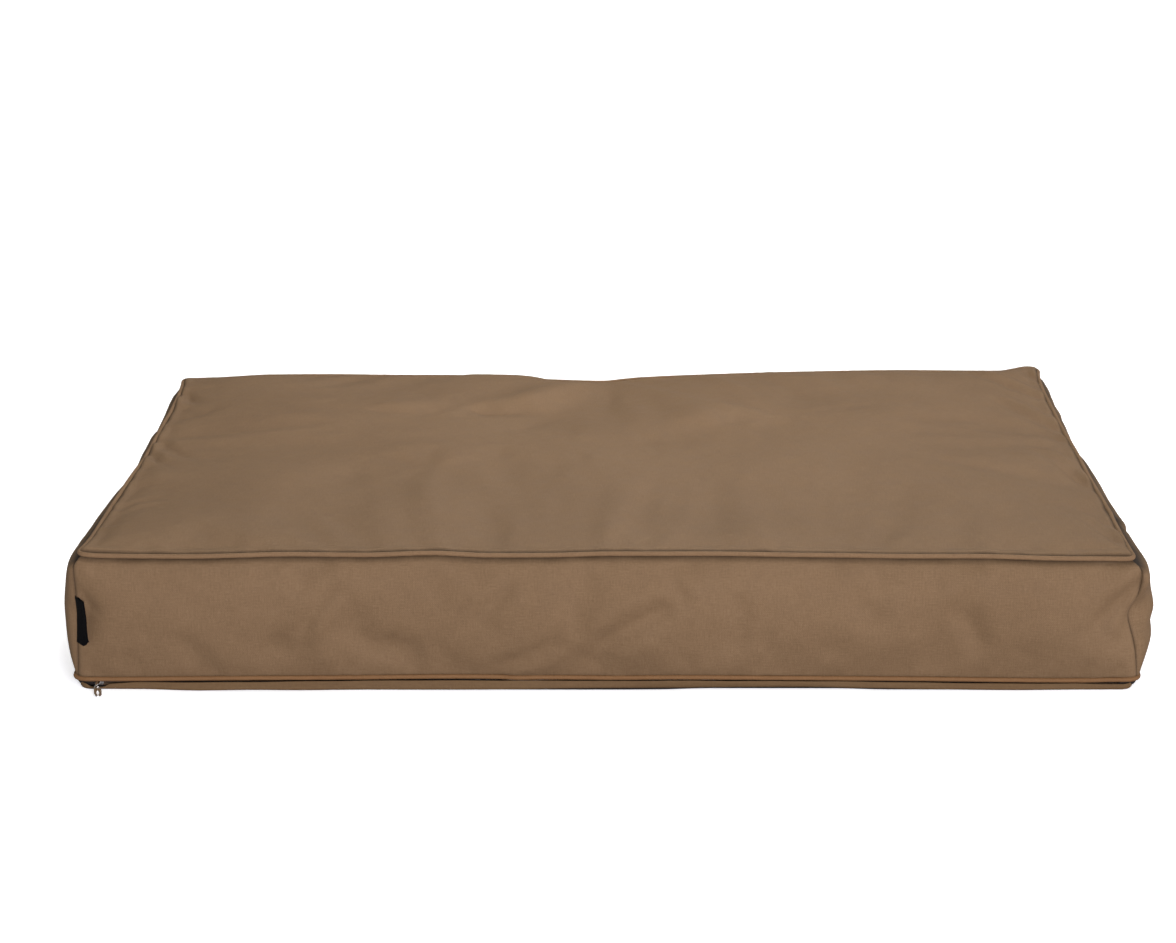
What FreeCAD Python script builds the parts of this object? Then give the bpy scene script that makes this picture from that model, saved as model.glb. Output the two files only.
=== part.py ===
# Box-edged pet cushion bed, 120 x 80 x 15 cm nominal.
# A removable cover (top panel, four side bands, non-slip base, piped seams top and bottom,
# a coil zip along the foot of the front band, a folded side label) over an inner cushion
# (ticking liner with a middle baffle and two chambers of loose fill).
# Frame: +Z up, origin on the floor under the middle of the cushion, front band facing -Y.
# Every length is in millimetres.
import FreeCAD, Part
import math
import os

V = FreeCAD.Vector
os.makedirs("parts", exist_ok=True)

# ---------------------------------------------------------------- driving dimensions
HX = 595.5            # half length of the cover at its seams
HY = 395.5            # half depth of the cover at its seams
BULGE = 15.0          # how far a side band stands out between its seams
PLAN_BOW = 18.0       # extra bow of the plan outline, which draws the bands in toward the upright corners
Z_TOP = 160.0         # height of the top piping's centre
Z_BOT = 12.3          # height of the bottom piping's centre
Z_EDGE = 165.0        # height of the top panel at its rolled edge
CROWN = 11.0          # rise of the top panel from its edge to its middle
CLOTH = 1.2           # coated canvas
R_CORNER = 6.0        # plan radius of the cover's upright corners
R_TOP_ROLL = 6.0      # rolled edge of the top panel
R_BOT_ROLL = 11.0     # rolled edge of the base panel
PIPE_R = 2.75         # finished piping radius
PIPE_WALL = 0.6       # cloth wrapped round the piping cord
PIPE_OUT = 1.5        # piping centre outside the seam line
PIPE_GAP = 0.25       # clearance of the panels round the piping
FLANGE_IN = 388.5     # inner edge of the piping's seam allowance, in half depth
LINER_GAP = 3.0       # liner inside the seams
LINER_T = 0.8
LINER_Z0 = 2.9
LINER_RB = 60.0
LINER_RT = 30.0
BAFFLE_T = 0.8

ALLOW_Z = 14.7        # top of the front seam allowance where it turns in under the band
ALLOW_Y = -391.0      # inner face of that allowance, where the upper zip tape is sewn
ZIP_Z = 8.5           # height of the zip's centre line
ZIP_Y = -390.6        # plane of the zip tapes
ZIP_END = 585.0       # half length of the coil
TAPE_T = 0.8
TAPE_END = 588.0
COIL_T = 2.4
COIL_W = 2.2
COIL_SPLIT = 0.65     # half the gap between the two coils
SLIDER_X = -578.0     # slider at rest, zip closed
SLIDER_L = 12.0
SLIDER_W = 10.8
LUG_T = 1.2           # thickness of the flat lug that carries the pull through the slit
SLIT_LO = 7.5         # top edge of the lower facing
FACE_Y = -399.5       # outer face of the lower facing
FACING_IN = -384.0    # where the lower facing meets the base panel
PIN_Y = -402.0        # axis of the pull's cross bar
PIN_R = 0.8
PULL_DROOP = 10.0     # degrees below level
PULL_TURN = 12.0      # degrees from square, toward +X
PULL_L = 19.0
PULL_W = 8.0
PULL_T = 1.6

LABEL_Z0, LABEL_Z1 = 46.0, 109.0
LABEL_OUT = 17.0


# ---------------------------------------------------------------- helpers
def box(x0, x1, y0, y1, z0, z1):
    return Part.makeBox(x1 - x0, y1 - y0, z1 - z0, V(x0, y0, z0))


def face_of(edges):
    return Part.Face(Part.Wire(Part.__sortEdges__(edges)))


def side_offset(z, bulge):
    """How far the bowed side stands out from the seam line at height z."""
    half = (Z_TOP - Z_BOT) / 2
    mid = (Z_TOP + Z_BOT) / 2
    r = (half * half + bulge * bulge) / (2 * bulge)
    return math.sqrt(r * r - (z - mid) ** 2) - (r - bulge)


def through(p, q, m):
    """Circle (centre, radius) through three points of the plane."""
    ax, ay, bx, by, cx, cy = p + m + q
    d = 2 * (ax * (by - cy) + bx * (cy - ay) + cx * (ay - by))
    sa, sb, sc = ax * ax + ay * ay, bx * bx + by * by, cx * cx + cy * cy
    x = (sa * (by - cy) + sb * (cy - ay) + sc * (ay - by)) / d
    y = (sa * (cx - bx) + sb * (ax - cx) + sc * (bx - ax)) / d
    return (x, y), math.hypot(ax - x, ay - y)


def rounded(corners, mids, radii, place):
    """Convex outline, anticlockwise, with bowed or straight sides and rounded corners, as edges.

    mids[i] is the middle of the side from corners[i] to corners[i + 1], or None for a straight side."""
    count = len(corners)
    sides = []
    for i in range(count):
        p, q = corners[i], corners[(i + 1) % count]
        if mids[i] is None:
            length = math.hypot(q[0] - p[0], q[1] - p[1])
            sides.append(("line", p, ((q[0] - p[0]) / length, (q[1] - p[1]) / length)))
        else:
            sides.append(("arc",) + through(p, q, mids[i]))

    def centre(one, two, r, near):
        """Centre of the corner's rounding, r inside both sides."""
        rings = []
        for s in (one, two):
            if s[0] == "line":
                nx, ny = -s[2][1], s[2][0]
                rings.append(("line", (s[1][0] + nx * r, s[1][1] + ny * r), s[2]))
            else:
                rings.append(("arc", s[1], s[2] - r))
        c, d = rings
        if c[0] == "arc" and d[0] == "line":
            c, d = d, c
        if c[0] == "line" and d[0] == "line":
            (px, py), (ux, uy) = c[1], c[2]
            (qx, qy), (vx, vy) = d[1], d[2]
            t = ((qx - px) * vy - (qy - py) * vx) / (ux * vy - uy * vx)
            return px + ux * t, py + uy * t
        if c[0] == "line":
            (px, py), (ux, uy), (ox, oy), big = c[1], c[2], d[1], d[2]
            b = (px - ox) * ux + (py - oy) * uy
            k = math.sqrt(b * b - ((px - ox) ** 2 + (py - oy) ** 2 - big * big))
            found = [(px + ux * t, py + uy * t) for t in (-b + k, -b - k)]
        else:
            (x0, y0), r0, (x1, y1), r1 = c[1], c[2], d[1], d[2]
            gap = math.hypot(x1 - x0, y1 - y0)
            along = (gap * gap + r0 * r0 - r1 * r1) / (2 * gap)
            k = math.sqrt(r0 * r0 - along * along)
            ux, uy = (x1 - x0) / gap, (y1 - y0) / gap
            found = [(x0 + ux * along - uy * j, y0 + uy * along + ux * j) for j in (k, -k)]
        return min(found, key=lambda f: math.hypot(f[0] - near[0], f[1] - near[1]))

    def touch(side, c):
        if side[0] == "line":
            (px, py), (ux, uy) = side[1], side[2]
            t = (c[0] - px) * ux + (c[1] - py) * uy
            return px + ux * t, py + uy * t
        (ox, oy), big = side[1], side[2]
        dx, dy = c[0] - ox, c[1] - oy
        n = math.hypot(dx, dy)
        return ox + dx / n * big, oy + dy / n * big

    starts, ends, rounds = {}, {}, []
    for i in range(count):
        one, two, r = sides[i - 1], sides[i], radii[i]
        c = centre(one, two, r, corners[i])
        a, b = touch(one, c), touch(two, c)
        ends[(i - 1) % count], starts[i] = a, b
        mx, my = (a[0] + b[0]) / 2 - c[0], (a[1] + b[1]) / 2 - c[1]
        n = math.hypot(mx, my)
        rounds.append((a, (c[0] + mx / n * r, c[1] + my / n * r), b))
    edges = []
    for i, side in enumerate(sides):
        a, b = starts[i], ends[i]
        if side[0] == "line":
            edges.append(Part.LineSegment(place(*a), place(*b)).toShape())
        else:
            (ox, oy), big = side[1], side[2]
            mx, my = (a[0] + b[0]) / 2 - ox, (a[1] + b[1]) / 2 - oy
            n = math.hypot(mx, my)
            edges.append(Part.Arc(place(*a), place(ox + mx / n * big, oy + my / n * big), place(*b)).toShape())
    edges += [Part.Arc(place(*a), place(*m), place(*b)).toShape() for a, m, b in rounds]
    return edges


def section(h, z0, z1, crown, bulge, rb, rt, place):
    """Cross-section in (u, z): flat foot, bowed sides, crowned top, rounded edges."""
    mid = (Z_TOP + Z_BOT) / 2
    b0, b1 = h + side_offset(z0, bulge), h + side_offset(z1, bulge)
    corners = [(-b0, z0), (b0, z0), (b1, z1), (-b1, z1)]
    mids = [None, (h + bulge, mid), (0.0, z1 + crown), (-h - bulge, mid)]
    return rounded(corners, mids, [rb, rb, rt, rt], place)


def round_box(x0, x1, y0, y1, z0, z1, r, axis):
    """A bar along an axis with its four long edges rounded."""
    if axis == "x":
        e = rounded([(y0, z0), (y1, z0), (y1, z1), (y0, z1)], [None] * 4, [r] * 4, lambda u, w: V(x0, u, w))
        return face_of(e).extrude(V(x1 - x0, 0, 0))
    e = rounded([(x0, z0), (x1, z0), (x1, z1), (x0, z1)], [None] * 4, [r] * 4, lambda u, w: V(u, y0, w))
    return face_of(e).extrude(V(0, y1 - y0, 0))


def pillow(hx, hy, z0, z1, crown, bulge, rb, rt, rc):
    """A box cushion: bowed sides, crowned top, rounded edges. All faces are planes or cylinders."""
    long_x, long_y = hx + 60, hy + 60
    along_x = face_of(section(hy, z0, z1, crown, bulge, rb, rt, lambda u, z: V(-long_x, u, z))).extrude(V(2 * long_x, 0, 0))
    along_y = face_of(section(hx, z0, z1, crown, bulge, rb, rt, lambda u, z: V(u, -long_y, z))).extrude(V(0, 2 * long_y, 0))
    corners = [(-hx, -hy), (hx, -hy), (hx, hy), (-hx, hy)]
    bow = bulge + PLAN_BOW
    mids = [(0.0, -hy - bow), (hx + bow, 0.0), (0.0, hy + bow), (-hx - bow, 0.0)]
    plan = face_of(rounded(corners, mids, [rc] * 4, lambda x, y: V(x, y, -20))).extrude(V(0, 0, 260))
    return along_x.common(along_y).common(plan)


def ring_path(hx, hy, r, z):
    """A rounded rectangle at height z."""
    k = r * (1 - math.sqrt(0.5))
    c = [(hx, -hy + r, hx, hy - r), (hx - r, hy, -hx + r, hy), (-hx, hy - r, -hx, -hy + r), (-hx + r, -hy, hx - r, -hy)]
    e = [Part.LineSegment(V(a, b, z), V(p, q, z)).toShape() for a, b, p, q in c]
    corners = [
        (V(hx, hy - r, z), V(hx - k, hy - k, z), V(hx - r, hy, z)),
        (V(-hx + r, hy, z), V(-hx + k, hy - k, z), V(-hx, hy - r, z)),
        (V(-hx, -hy + r, z), V(-hx + k, -hy + k, z), V(-hx + r, -hy, z)),
        (V(hx - r, -hy, z), V(hx - k, -hy + k, z), V(hx, -hy + r, z)),
    ]
    e += [Part.Arc(*p).toShape() for p in corners]
    return e


def ring_tube(hx, hy, r, z, tube):
    """A round tube along the rounded rectangle, made of cylinders and quarter tori."""
    pieces = []
    for p, q in (
        (V(hx, -hy + r, z), V(hx, hy - r, z)),
        (V(hx - r, hy, z), V(-hx + r, hy, z)),
        (V(-hx, hy - r, z), V(-hx, -hy + r, z)),
        (V(-hx + r, -hy, z), V(hx - r, -hy, z)),
    ):
        d = q - p
        pieces.append(Part.makeCylinder(tube, d.Length, p, d))
    for cx, cy, start in ((hx - r, hy - r, 0), (-hx + r, hy - r, 90), (-hx + r, -hy + r, 180), (hx - r, -hy + r, 270)):
        a = math.radians(start)
        disc = Part.Face(Part.Wire(Part.makeCircle(tube, V(cx + r * math.cos(a), cy + r * math.sin(a), z), V(-math.sin(a), math.cos(a), 0))))
        pieces.append(disc.revolve(V(cx, cy, z), V(0, 0, 1), 90))
    out = pieces[0].fuse(pieces[1:])
    return out.removeSplitter()


def plate_ring(hx, hy, inner_x, inner_y, r, z0, z1):
    outer = Part.Face(Part.Wire(Part.__sortEdges__(ring_path(hx, hy, r, z0)))).extrude(V(0, 0, z1 - z0))
    return outer.cut(box(-inner_x, inner_x, -inner_y, inner_y, z0 - 1, z1 + 1))


def only(shape, biggest=False):
    s = shape.Solids
    if biggest:
        s = [max(s, key=lambda a: a.Volume)]
    return s[0] if len(s) == 1 else Part.makeCompound(s)


def save(name, shape):
    assert shape.isValid(), name
    vol = sum(s.Volume for s in shape.Solids)
    b = shape.BoundBox
    print("%-22s solids %2d  volume %12.1f mm3  x %.1f..%.1f  y %.1f..%.1f  z %.2f..%.2f" % (
        name, len(shape.Solids), vol, b.XMin, b.XMax, b.YMin, b.YMax, b.ZMin, b.ZMax))
    shape.exportStep("parts/%s.step" % name)


# ---------------------------------------------------------------- cover skin
outer = pillow(HX, HY, 0.0, Z_EDGE, CROWN, BULGE, R_BOT_ROLL, R_TOP_ROLL, R_CORNER)
inner = pillow(HX - CLOTH, HY - CLOTH, CLOTH, Z_EDGE - CLOTH, CROWN, BULGE, R_BOT_ROLL - CLOTH, R_TOP_ROLL - CLOTH, R_CORNER - CLOTH)
skin = outer.cut(inner)

PX, PY, PR = HX + PIPE_OUT, HY + PIPE_OUT, R_CORNER + PIPE_OUT
clear_top = ring_tube(PX, PY, PR, Z_TOP, PIPE_R + PIPE_GAP)
clear_bot = ring_tube(PX, PY, PR, Z_BOT, PIPE_R + PIPE_GAP)

BIG = 800
top_panel = skin.common(box(-BIG, BIG, -BIG, BIG, Z_TOP + 0.7, 400)).cut(clear_top)
save("top_panel", only(top_panel, True))

band = skin.common(box(-BIG, BIG, -BIG, BIG, Z_BOT + 0.7, Z_TOP - 0.7)).cut(clear_top).cut(clear_bot)
band = band.cut(box(-HX + R_CORNER, HX - R_CORNER, -HY - 3, -HY + 4, 0, ALLOW_Z + 0.2))
cx, cy = HX - R_CORNER, HY - R_CORNER


def wedge(points):
    w = [V(x, y, 0) for x, y in points]
    return Part.Face(Part.makePolygon(w + [w[0]])).extrude(V(0, 0, 300))


FAR = 60
wedges = {
    "front_band": [(-cx, -cy), (-cx - FAR, -cy - FAR), (cx + FAR, -cy - FAR), (cx, -cy)],
    "right_band": [(cx, -cy), (cx + FAR, -cy - FAR), (cx + FAR, cy + FAR), (cx, cy)],
    "back_band": [(cx, cy), (cx + FAR, cy + FAR), (-cx - FAR, cy + FAR), (-cx, cy)],
    "left_band": [(-cx, cy), (-cx - FAR, cy + FAR), (-cx - FAR, -cy - FAR), (-cx, -cy)],
}
for name, points in wedges.items():
    save(name, only(band.common(wedge(points)), True))

# The base stops short of the front edge, where the zip's lower facing takes over.
base = skin.common(box(-BIG, BIG, -BIG, BIG, -1, Z_BOT - 0.7)).cut(clear_bot)
base = base.cut(box(-cx, cx, -BIG, FACING_IN, -1, Z_BOT))
save("base_panel", only(base, True))

# Lower facing: a strip of cover cloth from the floor up to the slit of the zip.
out_y, in_y, r = FACE_Y, FACE_Y + CLOTH, 4.0
k = math.sqrt(0.5)
ri = r - CLOTH
profile = [
    Part.LineSegment(V(-cx, FACING_IN, 0), V(-cx, out_y + r, 0)).toShape(),
    Part.Arc(V(-cx, out_y + r, 0), V(-cx, out_y + r - r * k, r - r * k), V(-cx, out_y, r)).toShape(),
    Part.LineSegment(V(-cx, out_y, r), V(-cx, out_y, SLIT_LO - 0.6)).toShape(),
    Part.Arc(V(-cx, out_y, SLIT_LO - 0.6), V(-cx, out_y + 0.6, SLIT_LO), V(-cx, out_y + CLOTH, SLIT_LO - 0.6)).toShape(),
    Part.LineSegment(V(-cx, in_y, SLIT_LO - 0.6), V(-cx, in_y, r)).toShape(),
    Part.Arc(V(-cx, in_y, r), V(-cx, in_y + ri - ri * k, r - ri * k), V(-cx, in_y + ri, CLOTH)).toShape(),
    Part.LineSegment(V(-cx, in_y + ri, CLOTH), V(-cx, FACING_IN, CLOTH)).toShape(),
    Part.LineSegment(V(-cx, FACING_IN, CLOTH), V(-cx, FACING_IN, 0)).toShape(),
]
save("zip_lower_facing", face_of(profile).extrude(V(2 * cx, 0, 0)))

# ---------------------------------------------------------------- piping
bore = PIPE_R - PIPE_WALL
for name, z, front in (("top", Z_TOP, True), ("bottom", Z_BOT, False)):
    tube = ring_tube(PX, PY, PR, z, PIPE_R)
    flange = plate_ring(HX - 0.6, HY - 0.6, FLANGE_IN + 200, FLANGE_IN, R_CORNER, z - 0.4, z + 0.4)
    if not front:
        # along the front the seam allowance turns up behind the band and carries the upper zip tape
        flange = flange.cut(box(-BIG, BIG, -BIG, -380, z - 2, z + 2))
        flange = flange.fuse([
            box(-HX + R_CORNER, HX - R_CORNER, -HY - 0.4, ALLOW_Y, ALLOW_Z - 0.6, ALLOW_Z),
            box(-HX + R_CORNER, HX - R_CORNER, ALLOW_Y - 0.6, ALLOW_Y, ALLOW_Z - 0.6, 22.0),
        ])
    sleeve = tube.fuse(flange).cut(ring_tube(PX, PY, PR, z, bore))
    save("%s_piping_cover" % name, only(sleeve.removeSplitter(), True))
    save("%s_piping_cord" % name, only(ring_tube(PX, PY, PR, z, bore - 0.1), True))

# ---------------------------------------------------------------- zip
ty0, ty1 = ZIP_Y - TAPE_T / 2, ZIP_Y + TAPE_T / 2
cy0, cy1 = ZIP_Y - COIL_T / 2, ZIP_Y + COIL_T / 2
up0 = ZIP_Z + COIL_SPLIT
up1 = up0 + COIL_W
lo1 = ZIP_Z - COIL_SPLIT
lo0 = lo1 - COIL_W
save("zip_tape_upper", box(-TAPE_END, TAPE_END, ty0, ty1, up1, 21.0))
lower = face_of([
    Part.LineSegment(V(-TAPE_END, ty0, lo0), V(-TAPE_END, ty0, CLOTH + 1.5)).toShape(),
    Part.Arc(V(-TAPE_END, ty0, CLOTH + 1.5), V(-TAPE_END, ty0 + 1.5 * (1 - k), CLOTH + 1.5 - 1.5 * k), V(-TAPE_END, ty0 + 1.5, CLOTH)).toShape(),
    Part.LineSegment(V(-TAPE_END, ty0 + 1.5, CLOTH), V(-TAPE_END, -384.1, CLOTH)).toShape(),
    Part.LineSegment(V(-TAPE_END, -384.1, CLOTH), V(-TAPE_END, -384.1, CLOTH + TAPE_T)).toShape(),
    Part.LineSegment(V(-TAPE_END, -384.1, CLOTH + TAPE_T), V(-TAPE_END, ty0 + 1.5, CLOTH + TAPE_T)).toShape(),
    Part.Arc(V(-TAPE_END, ty0 + 1.5, CLOTH + TAPE_T), V(-TAPE_END, ty0 + 1.5 - 0.7 * k, CLOTH + 1.5 - 0.7 * k), V(-TAPE_END, ty1, CLOTH + 1.5)).toShape(),
    Part.LineSegment(V(-TAPE_END, ty1, CLOTH + 1.5), V(-TAPE_END, ty1, lo0)).toShape(),
    Part.LineSegment(V(-TAPE_END, ty1, lo0), V(-TAPE_END, ty0, lo0)).toShape(),
]).extrude(V(2 * TAPE_END, 0, 0))
save("zip_tape_lower", lower)


def coil(z0, z1):
    """A coil row as a plain rounded bar; a flat is left where it meets its tape."""
    return round_box(-ZIP_END, ZIP_END, cy0, cy1, z0, z1, 0.7, "x")


save("zip_coil_upper", coil(up0, up1))
save("zip_coil_lower", coil(lo0, lo1))

stops = []
for z0, z1 in ((up0, up1 + 0.3), (lo0 - 0.3, lo1)):
    s = box(-ZIP_END - 2.2, -ZIP_END - 0.1, cy0 - 0.3, ty0, z0, z1).fuse(box(-ZIP_END - 2.2, -ZIP_END - 0.1, ty1, cy1 + 0.3, z0, z1))
    inner_z = (z0, up1) if z0 > ZIP_Z else (lo0, z1)
    s = s.fuse(box(-ZIP_END - 2.2, -ZIP_END - 0.1, ty0, ty1, *inner_z))
    stops.append(s.removeSplitter())
save("zip_top_stops", Part.makeCompound([only(s) for s in stops]))
save("zip_bottom_stop", round_box(ZIP_END + 0.1, ZIP_END + 2.2, cy0 - 0.3, cy1 + 0.3, lo0, up1, 0.5, "y"))


# ---------------------------------------------------------------- slider
def plate(y0, y1):
    """Plan of a slider plate: two shoulders at the leading (left) end, a narrow tail."""
    hw, hl = SLIDER_W / 2, SLIDER_L / 2
    pts = [(-hl, 1.6), (-hl + 0.8, hw - 0.8), (-hl + 2.6, hw), (hl - 3.0, hw - 0.5), (hl - 0.8, hw - 1.2), (hl, hw - 2.2)]
    pts = pts + [(x, -w) for x, w in reversed(pts)]
    w = [V(SLIDER_X + x, y0, ZIP_Z + z) for x, z in pts]
    return Part.Face(Part.makePolygon(w + [w[0]])).extrude(V(0, y1 - y0, 0))


plate_t = 1.2
oy0, oy1 = cy0 - 0.5 - plate_t, cy0 - 0.5
iy0, iy1 = cy1 + 0.5, cy1 + 0.5 + plate_t
slider = plate(oy0, oy1).fuse(plate(iy0, iy1))
rim = plate(oy0, iy1).cut(box(SLIDER_X - 9, SLIDER_X + 9, oy0 - 1, iy1 + 1, ZIP_Z - 4.4, ZIP_Z + 4.4))
rim = rim.cut(box(SLIDER_X - 9, SLIDER_X + 9, ZIP_Y - 0.8, ZIP_Y + 0.8, -20, 40))
slider = slider.fuse(rim)
web = box(SLIDER_X - 5.2, SLIDER_X - 1.0, oy1 - 0.2, iy0 + 0.2, ZIP_Z - 0.35, ZIP_Z + 0.35)
slider = slider.fuse(web)
crown_r = 2.3
lug = box(SLIDER_X - 3.0, SLIDER_X + 3.0, PIN_Y, oy0 + 0.2, ZIP_Z - LUG_T / 2, ZIP_Z + LUG_T / 2)
lug = lug.fuse(Part.makeCylinder(crown_r, LUG_T, V(SLIDER_X, PIN_Y, ZIP_Z - LUG_T / 2), V(0, 0, 1)))
lug = lug.cut(box(SLIDER_X - 3.1, SLIDER_X - crown_r, PIN_Y - 3, PIN_Y + 2.0, 0, 20)).cut(box(SLIDER_X + crown_r, SLIDER_X + 3.1, PIN_Y - 3, PIN_Y + 2.0, 0, 20))
slider = slider.fuse(lug)
slider = slider.cut(Part.makeCylinder(1.15, 6, V(SLIDER_X, PIN_Y, ZIP_Z - 3), V(0, 0, 1)))
slider = slider.removeSplitter()
save("zip_slider", only(slider, True))

# ---------------------------------------------------------------- pull
# Built pointing along -Y with its cross bar on +Z at the origin, then drooped and turned.
pin = Part.makeCylinder(PIN_R, 6.8, V(0, 0, -3.4), V(0, 0, 1))
arms = [box(-PULL_T / 2, PULL_T / 2, -5.2, 0, a, b) for a, b in ((1.8, 3.4), (-3.4, -1.8))]
caps = [Part.makeCylinder(PULL_T / 2, 1.6, V(0, 0, a), V(0, 0, 1)) for a in (1.8, -3.4)]
w = [(-4.6, 3.4), (-6.4, PULL_W / 2), (-PULL_L + 2.6, PULL_W / 2), (-PULL_L + 0.8, PULL_W / 2 - 0.9), (-PULL_L, PULL_W / 2 - 2.6)]
w = w + [(y, -z) for y, z in reversed(w)]
w = [V(-PULL_T / 2, y, z) for y, z in w]
tab = Part.Face(Part.makePolygon(w + [w[0]])).extrude(V(PULL_T, 0, 0))
tab = tab.cut(Part.makeCylinder(1.5, 10, V(-5, -PULL_L + 3.6, 0), V(1, 0, 0)))
recess = box(-PULL_T, -PULL_T / 2 + 0.25, -13.0, -7.2, -2.4, 2.4).fuse(box(PULL_T / 2 - 0.25, PULL_T, -13.0, -7.2, -2.4, 2.4))
tab = tab.cut(recess)
pull = pin.fuse(arms + caps + [tab]).removeSplitter()
pull.rotate(V(0, 0, 0), V(0, 0, 1), PULL_TURN)
pull.rotate(V(0, 0, 0), V(1, 0, 0), PULL_DROOP)
pull.translate(V(SLIDER_X, PIN_Y, ZIP_Z))
save("zip_pull", only(pull, True))

# ---------------------------------------------------------------- labels
# Folded woven label caught in the front left corner seam.
leaf, slot = 0.6, 0.4
a0 = math.radians(-30)          # direction from the seam: forward and a little to the right
d = V(-math.sin(a0), -math.cos(a0), 0)
n = V(d.y, -d.x, 0)
root = V(-HX + 0.6, -HY + 0.2, 0)


def leaf_points(s0, s1, o0, o1, z0, z1):
    p = [root + d * s0 + n * o0, root + d * s1 + n * o0, root + d * s1 + n * o1, root + d * s0 + n * o1]
    p = [V(q.x, q.y, z0) for q in p]
    return Part.Face(Part.makePolygon(p + [p[0]])).extrude(V(0, 0, z1 - z0))


full = leaf_points(0.8, LABEL_OUT, -leaf - slot / 2, leaf + slot / 2, LABEL_Z0, LABEL_Z1)
gap = leaf_points(0.0, LABEL_OUT - leaf, -slot / 2, slot / 2, LABEL_Z0 - 1, LABEL_Z1 + 1)
root_bar = leaf_points(0.8, 2.4, -slot / 2, slot / 2, LABEL_Z0, LABEL_Z1)
label = full.cut(gap).fuse(root_bar).removeSplitter().cut(outer)
save("side_label", only(label, True))

# Care label, sewn into the back seam and lying on the inside of the base.
save("care_label", box(-560, -525, 322, 383, CLOTH, CLOTH + 0.4))

# ---------------------------------------------------------------- inner cushion
lh = (HX - LINER_GAP, HY - LINER_GAP)
lin_out = pillow(lh[0], lh[1], LINER_Z0, Z_EDGE - CLOTH - 0.8, CROWN, BULGE, LINER_RB, LINER_RT, 14.0)
lin_in = pillow(lh[0] - LINER_T, lh[1] - LINER_T, LINER_Z0 + LINER_T, Z_EDGE - CLOTH - 0.8 - LINER_T, CROWN, BULGE, LINER_RB - LINER_T, LINER_RT - LINER_T, 14.0 - LINER_T)
liner = lin_out.cut(lin_in)
save("liner_top", only(liner.common(box(-BIG, BIG, -BIG, BIG, 148, 400)), True))
save("liner_band", only(liner.common(box(-BIG, BIG, -BIG, BIG, 36, 148)), True))
save("liner_base", only(liner.common(box(-BIG, BIG, -BIG, BIG, -1, 36)), True))
save("liner_baffle", only(lin_in.common(box(-BAFFLE_T / 2, BAFFLE_T / 2, -BIG, BIG, -1, 400)), True))

gap = LINER_T + 0.5
fill = pillow(lh[0] - gap, lh[1] - gap, LINER_Z0 + gap, Z_EDGE - CLOTH - 0.8 - gap, CROWN - 0.3, BULGE - 0.2, LINER_RB, LINER_RT + 1.0, 15.0)
save("fill_left", only(fill.common(box(-BIG, -BAFFLE_T / 2 - 0.3, -BIG, BIG, -1, 400)), True))
save("fill_right", only(fill.common(box(BAFFLE_T / 2 + 0.3, BIG, -BIG, BIG, -1, 400)), True))
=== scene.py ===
import bpy
import bmesh
import math
import numpy as np
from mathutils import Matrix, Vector


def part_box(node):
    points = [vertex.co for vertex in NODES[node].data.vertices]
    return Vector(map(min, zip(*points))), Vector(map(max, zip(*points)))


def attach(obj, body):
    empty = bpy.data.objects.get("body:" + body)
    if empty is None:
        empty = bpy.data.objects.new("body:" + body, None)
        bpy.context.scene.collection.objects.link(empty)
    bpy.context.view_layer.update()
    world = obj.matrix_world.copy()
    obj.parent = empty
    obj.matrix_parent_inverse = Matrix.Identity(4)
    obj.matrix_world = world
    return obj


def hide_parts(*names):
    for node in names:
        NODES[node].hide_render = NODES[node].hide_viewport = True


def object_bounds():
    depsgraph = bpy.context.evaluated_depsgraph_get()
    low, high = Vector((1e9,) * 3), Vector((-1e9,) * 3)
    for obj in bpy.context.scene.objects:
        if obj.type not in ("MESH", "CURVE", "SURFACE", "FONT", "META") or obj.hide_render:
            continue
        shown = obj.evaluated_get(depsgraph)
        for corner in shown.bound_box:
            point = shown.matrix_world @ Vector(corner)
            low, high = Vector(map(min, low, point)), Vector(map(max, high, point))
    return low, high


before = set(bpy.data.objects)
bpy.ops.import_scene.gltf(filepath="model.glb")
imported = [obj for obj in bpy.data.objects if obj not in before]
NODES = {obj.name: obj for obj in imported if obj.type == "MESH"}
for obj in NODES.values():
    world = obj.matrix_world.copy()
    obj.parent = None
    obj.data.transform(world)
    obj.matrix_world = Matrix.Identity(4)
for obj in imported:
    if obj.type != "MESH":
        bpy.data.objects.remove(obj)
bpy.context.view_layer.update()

scene = bpy.context.scene

# ------------------------------------------------------------------ places taken from the frame
LO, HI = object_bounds()
pipe_lo, pipe_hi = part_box("top_piping_cover")
PIPE_R = 0.00275
PX, PY = pipe_hi.x - PIPE_R, pipe_hi.y - PIPE_R      # half sizes of the piping's centre line
bot_lo, bot_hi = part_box("bottom_piping_cord")
ZB = (bot_lo.z + bot_hi.z) / 2
PIPE_OUT = 0.0015
SX, SY = PX - PIPE_OUT, PY - PIPE_OUT                # half sizes at the seam


# ------------------------------------------------------------------ small helpers
def smooth(x, a, b):
    t = np.clip((np.asarray(x, float) - a) / (b - a), 0, 1)
    return t * t * (3 - 2 * t)


def curve(x, xs, ys):
    """Smooth interpolation through a few given values."""
    xs, ys = np.asarray(xs, float), np.asarray(ys, float)
    m = np.empty_like(ys)
    d = np.diff(ys) / np.diff(xs)
    m[0], m[-1] = d[0], d[-1]
    m[1:-1] = np.where(d[1:] * d[:-1] > 0, 2 * d[1:] * d[:-1] / np.where(np.abs(d[1:] + d[:-1]) < 1e-12, 1, d[1:] + d[:-1]), 0)
    x = np.clip(np.asarray(x, float), xs[0], xs[-1])
    i = np.clip(np.searchsorted(xs, x) - 1, 0, len(xs) - 2)
    h = xs[i + 1] - xs[i]
    t = (x - xs[i]) / h
    return ((1 + 2 * t) * (1 - t) ** 2 * ys[i] + t * (1 - t) ** 2 * h * m[i]
            + t * t * (3 - 2 * t) * ys[i + 1] + t * t * (t - 1) * h * m[i + 1])


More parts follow.
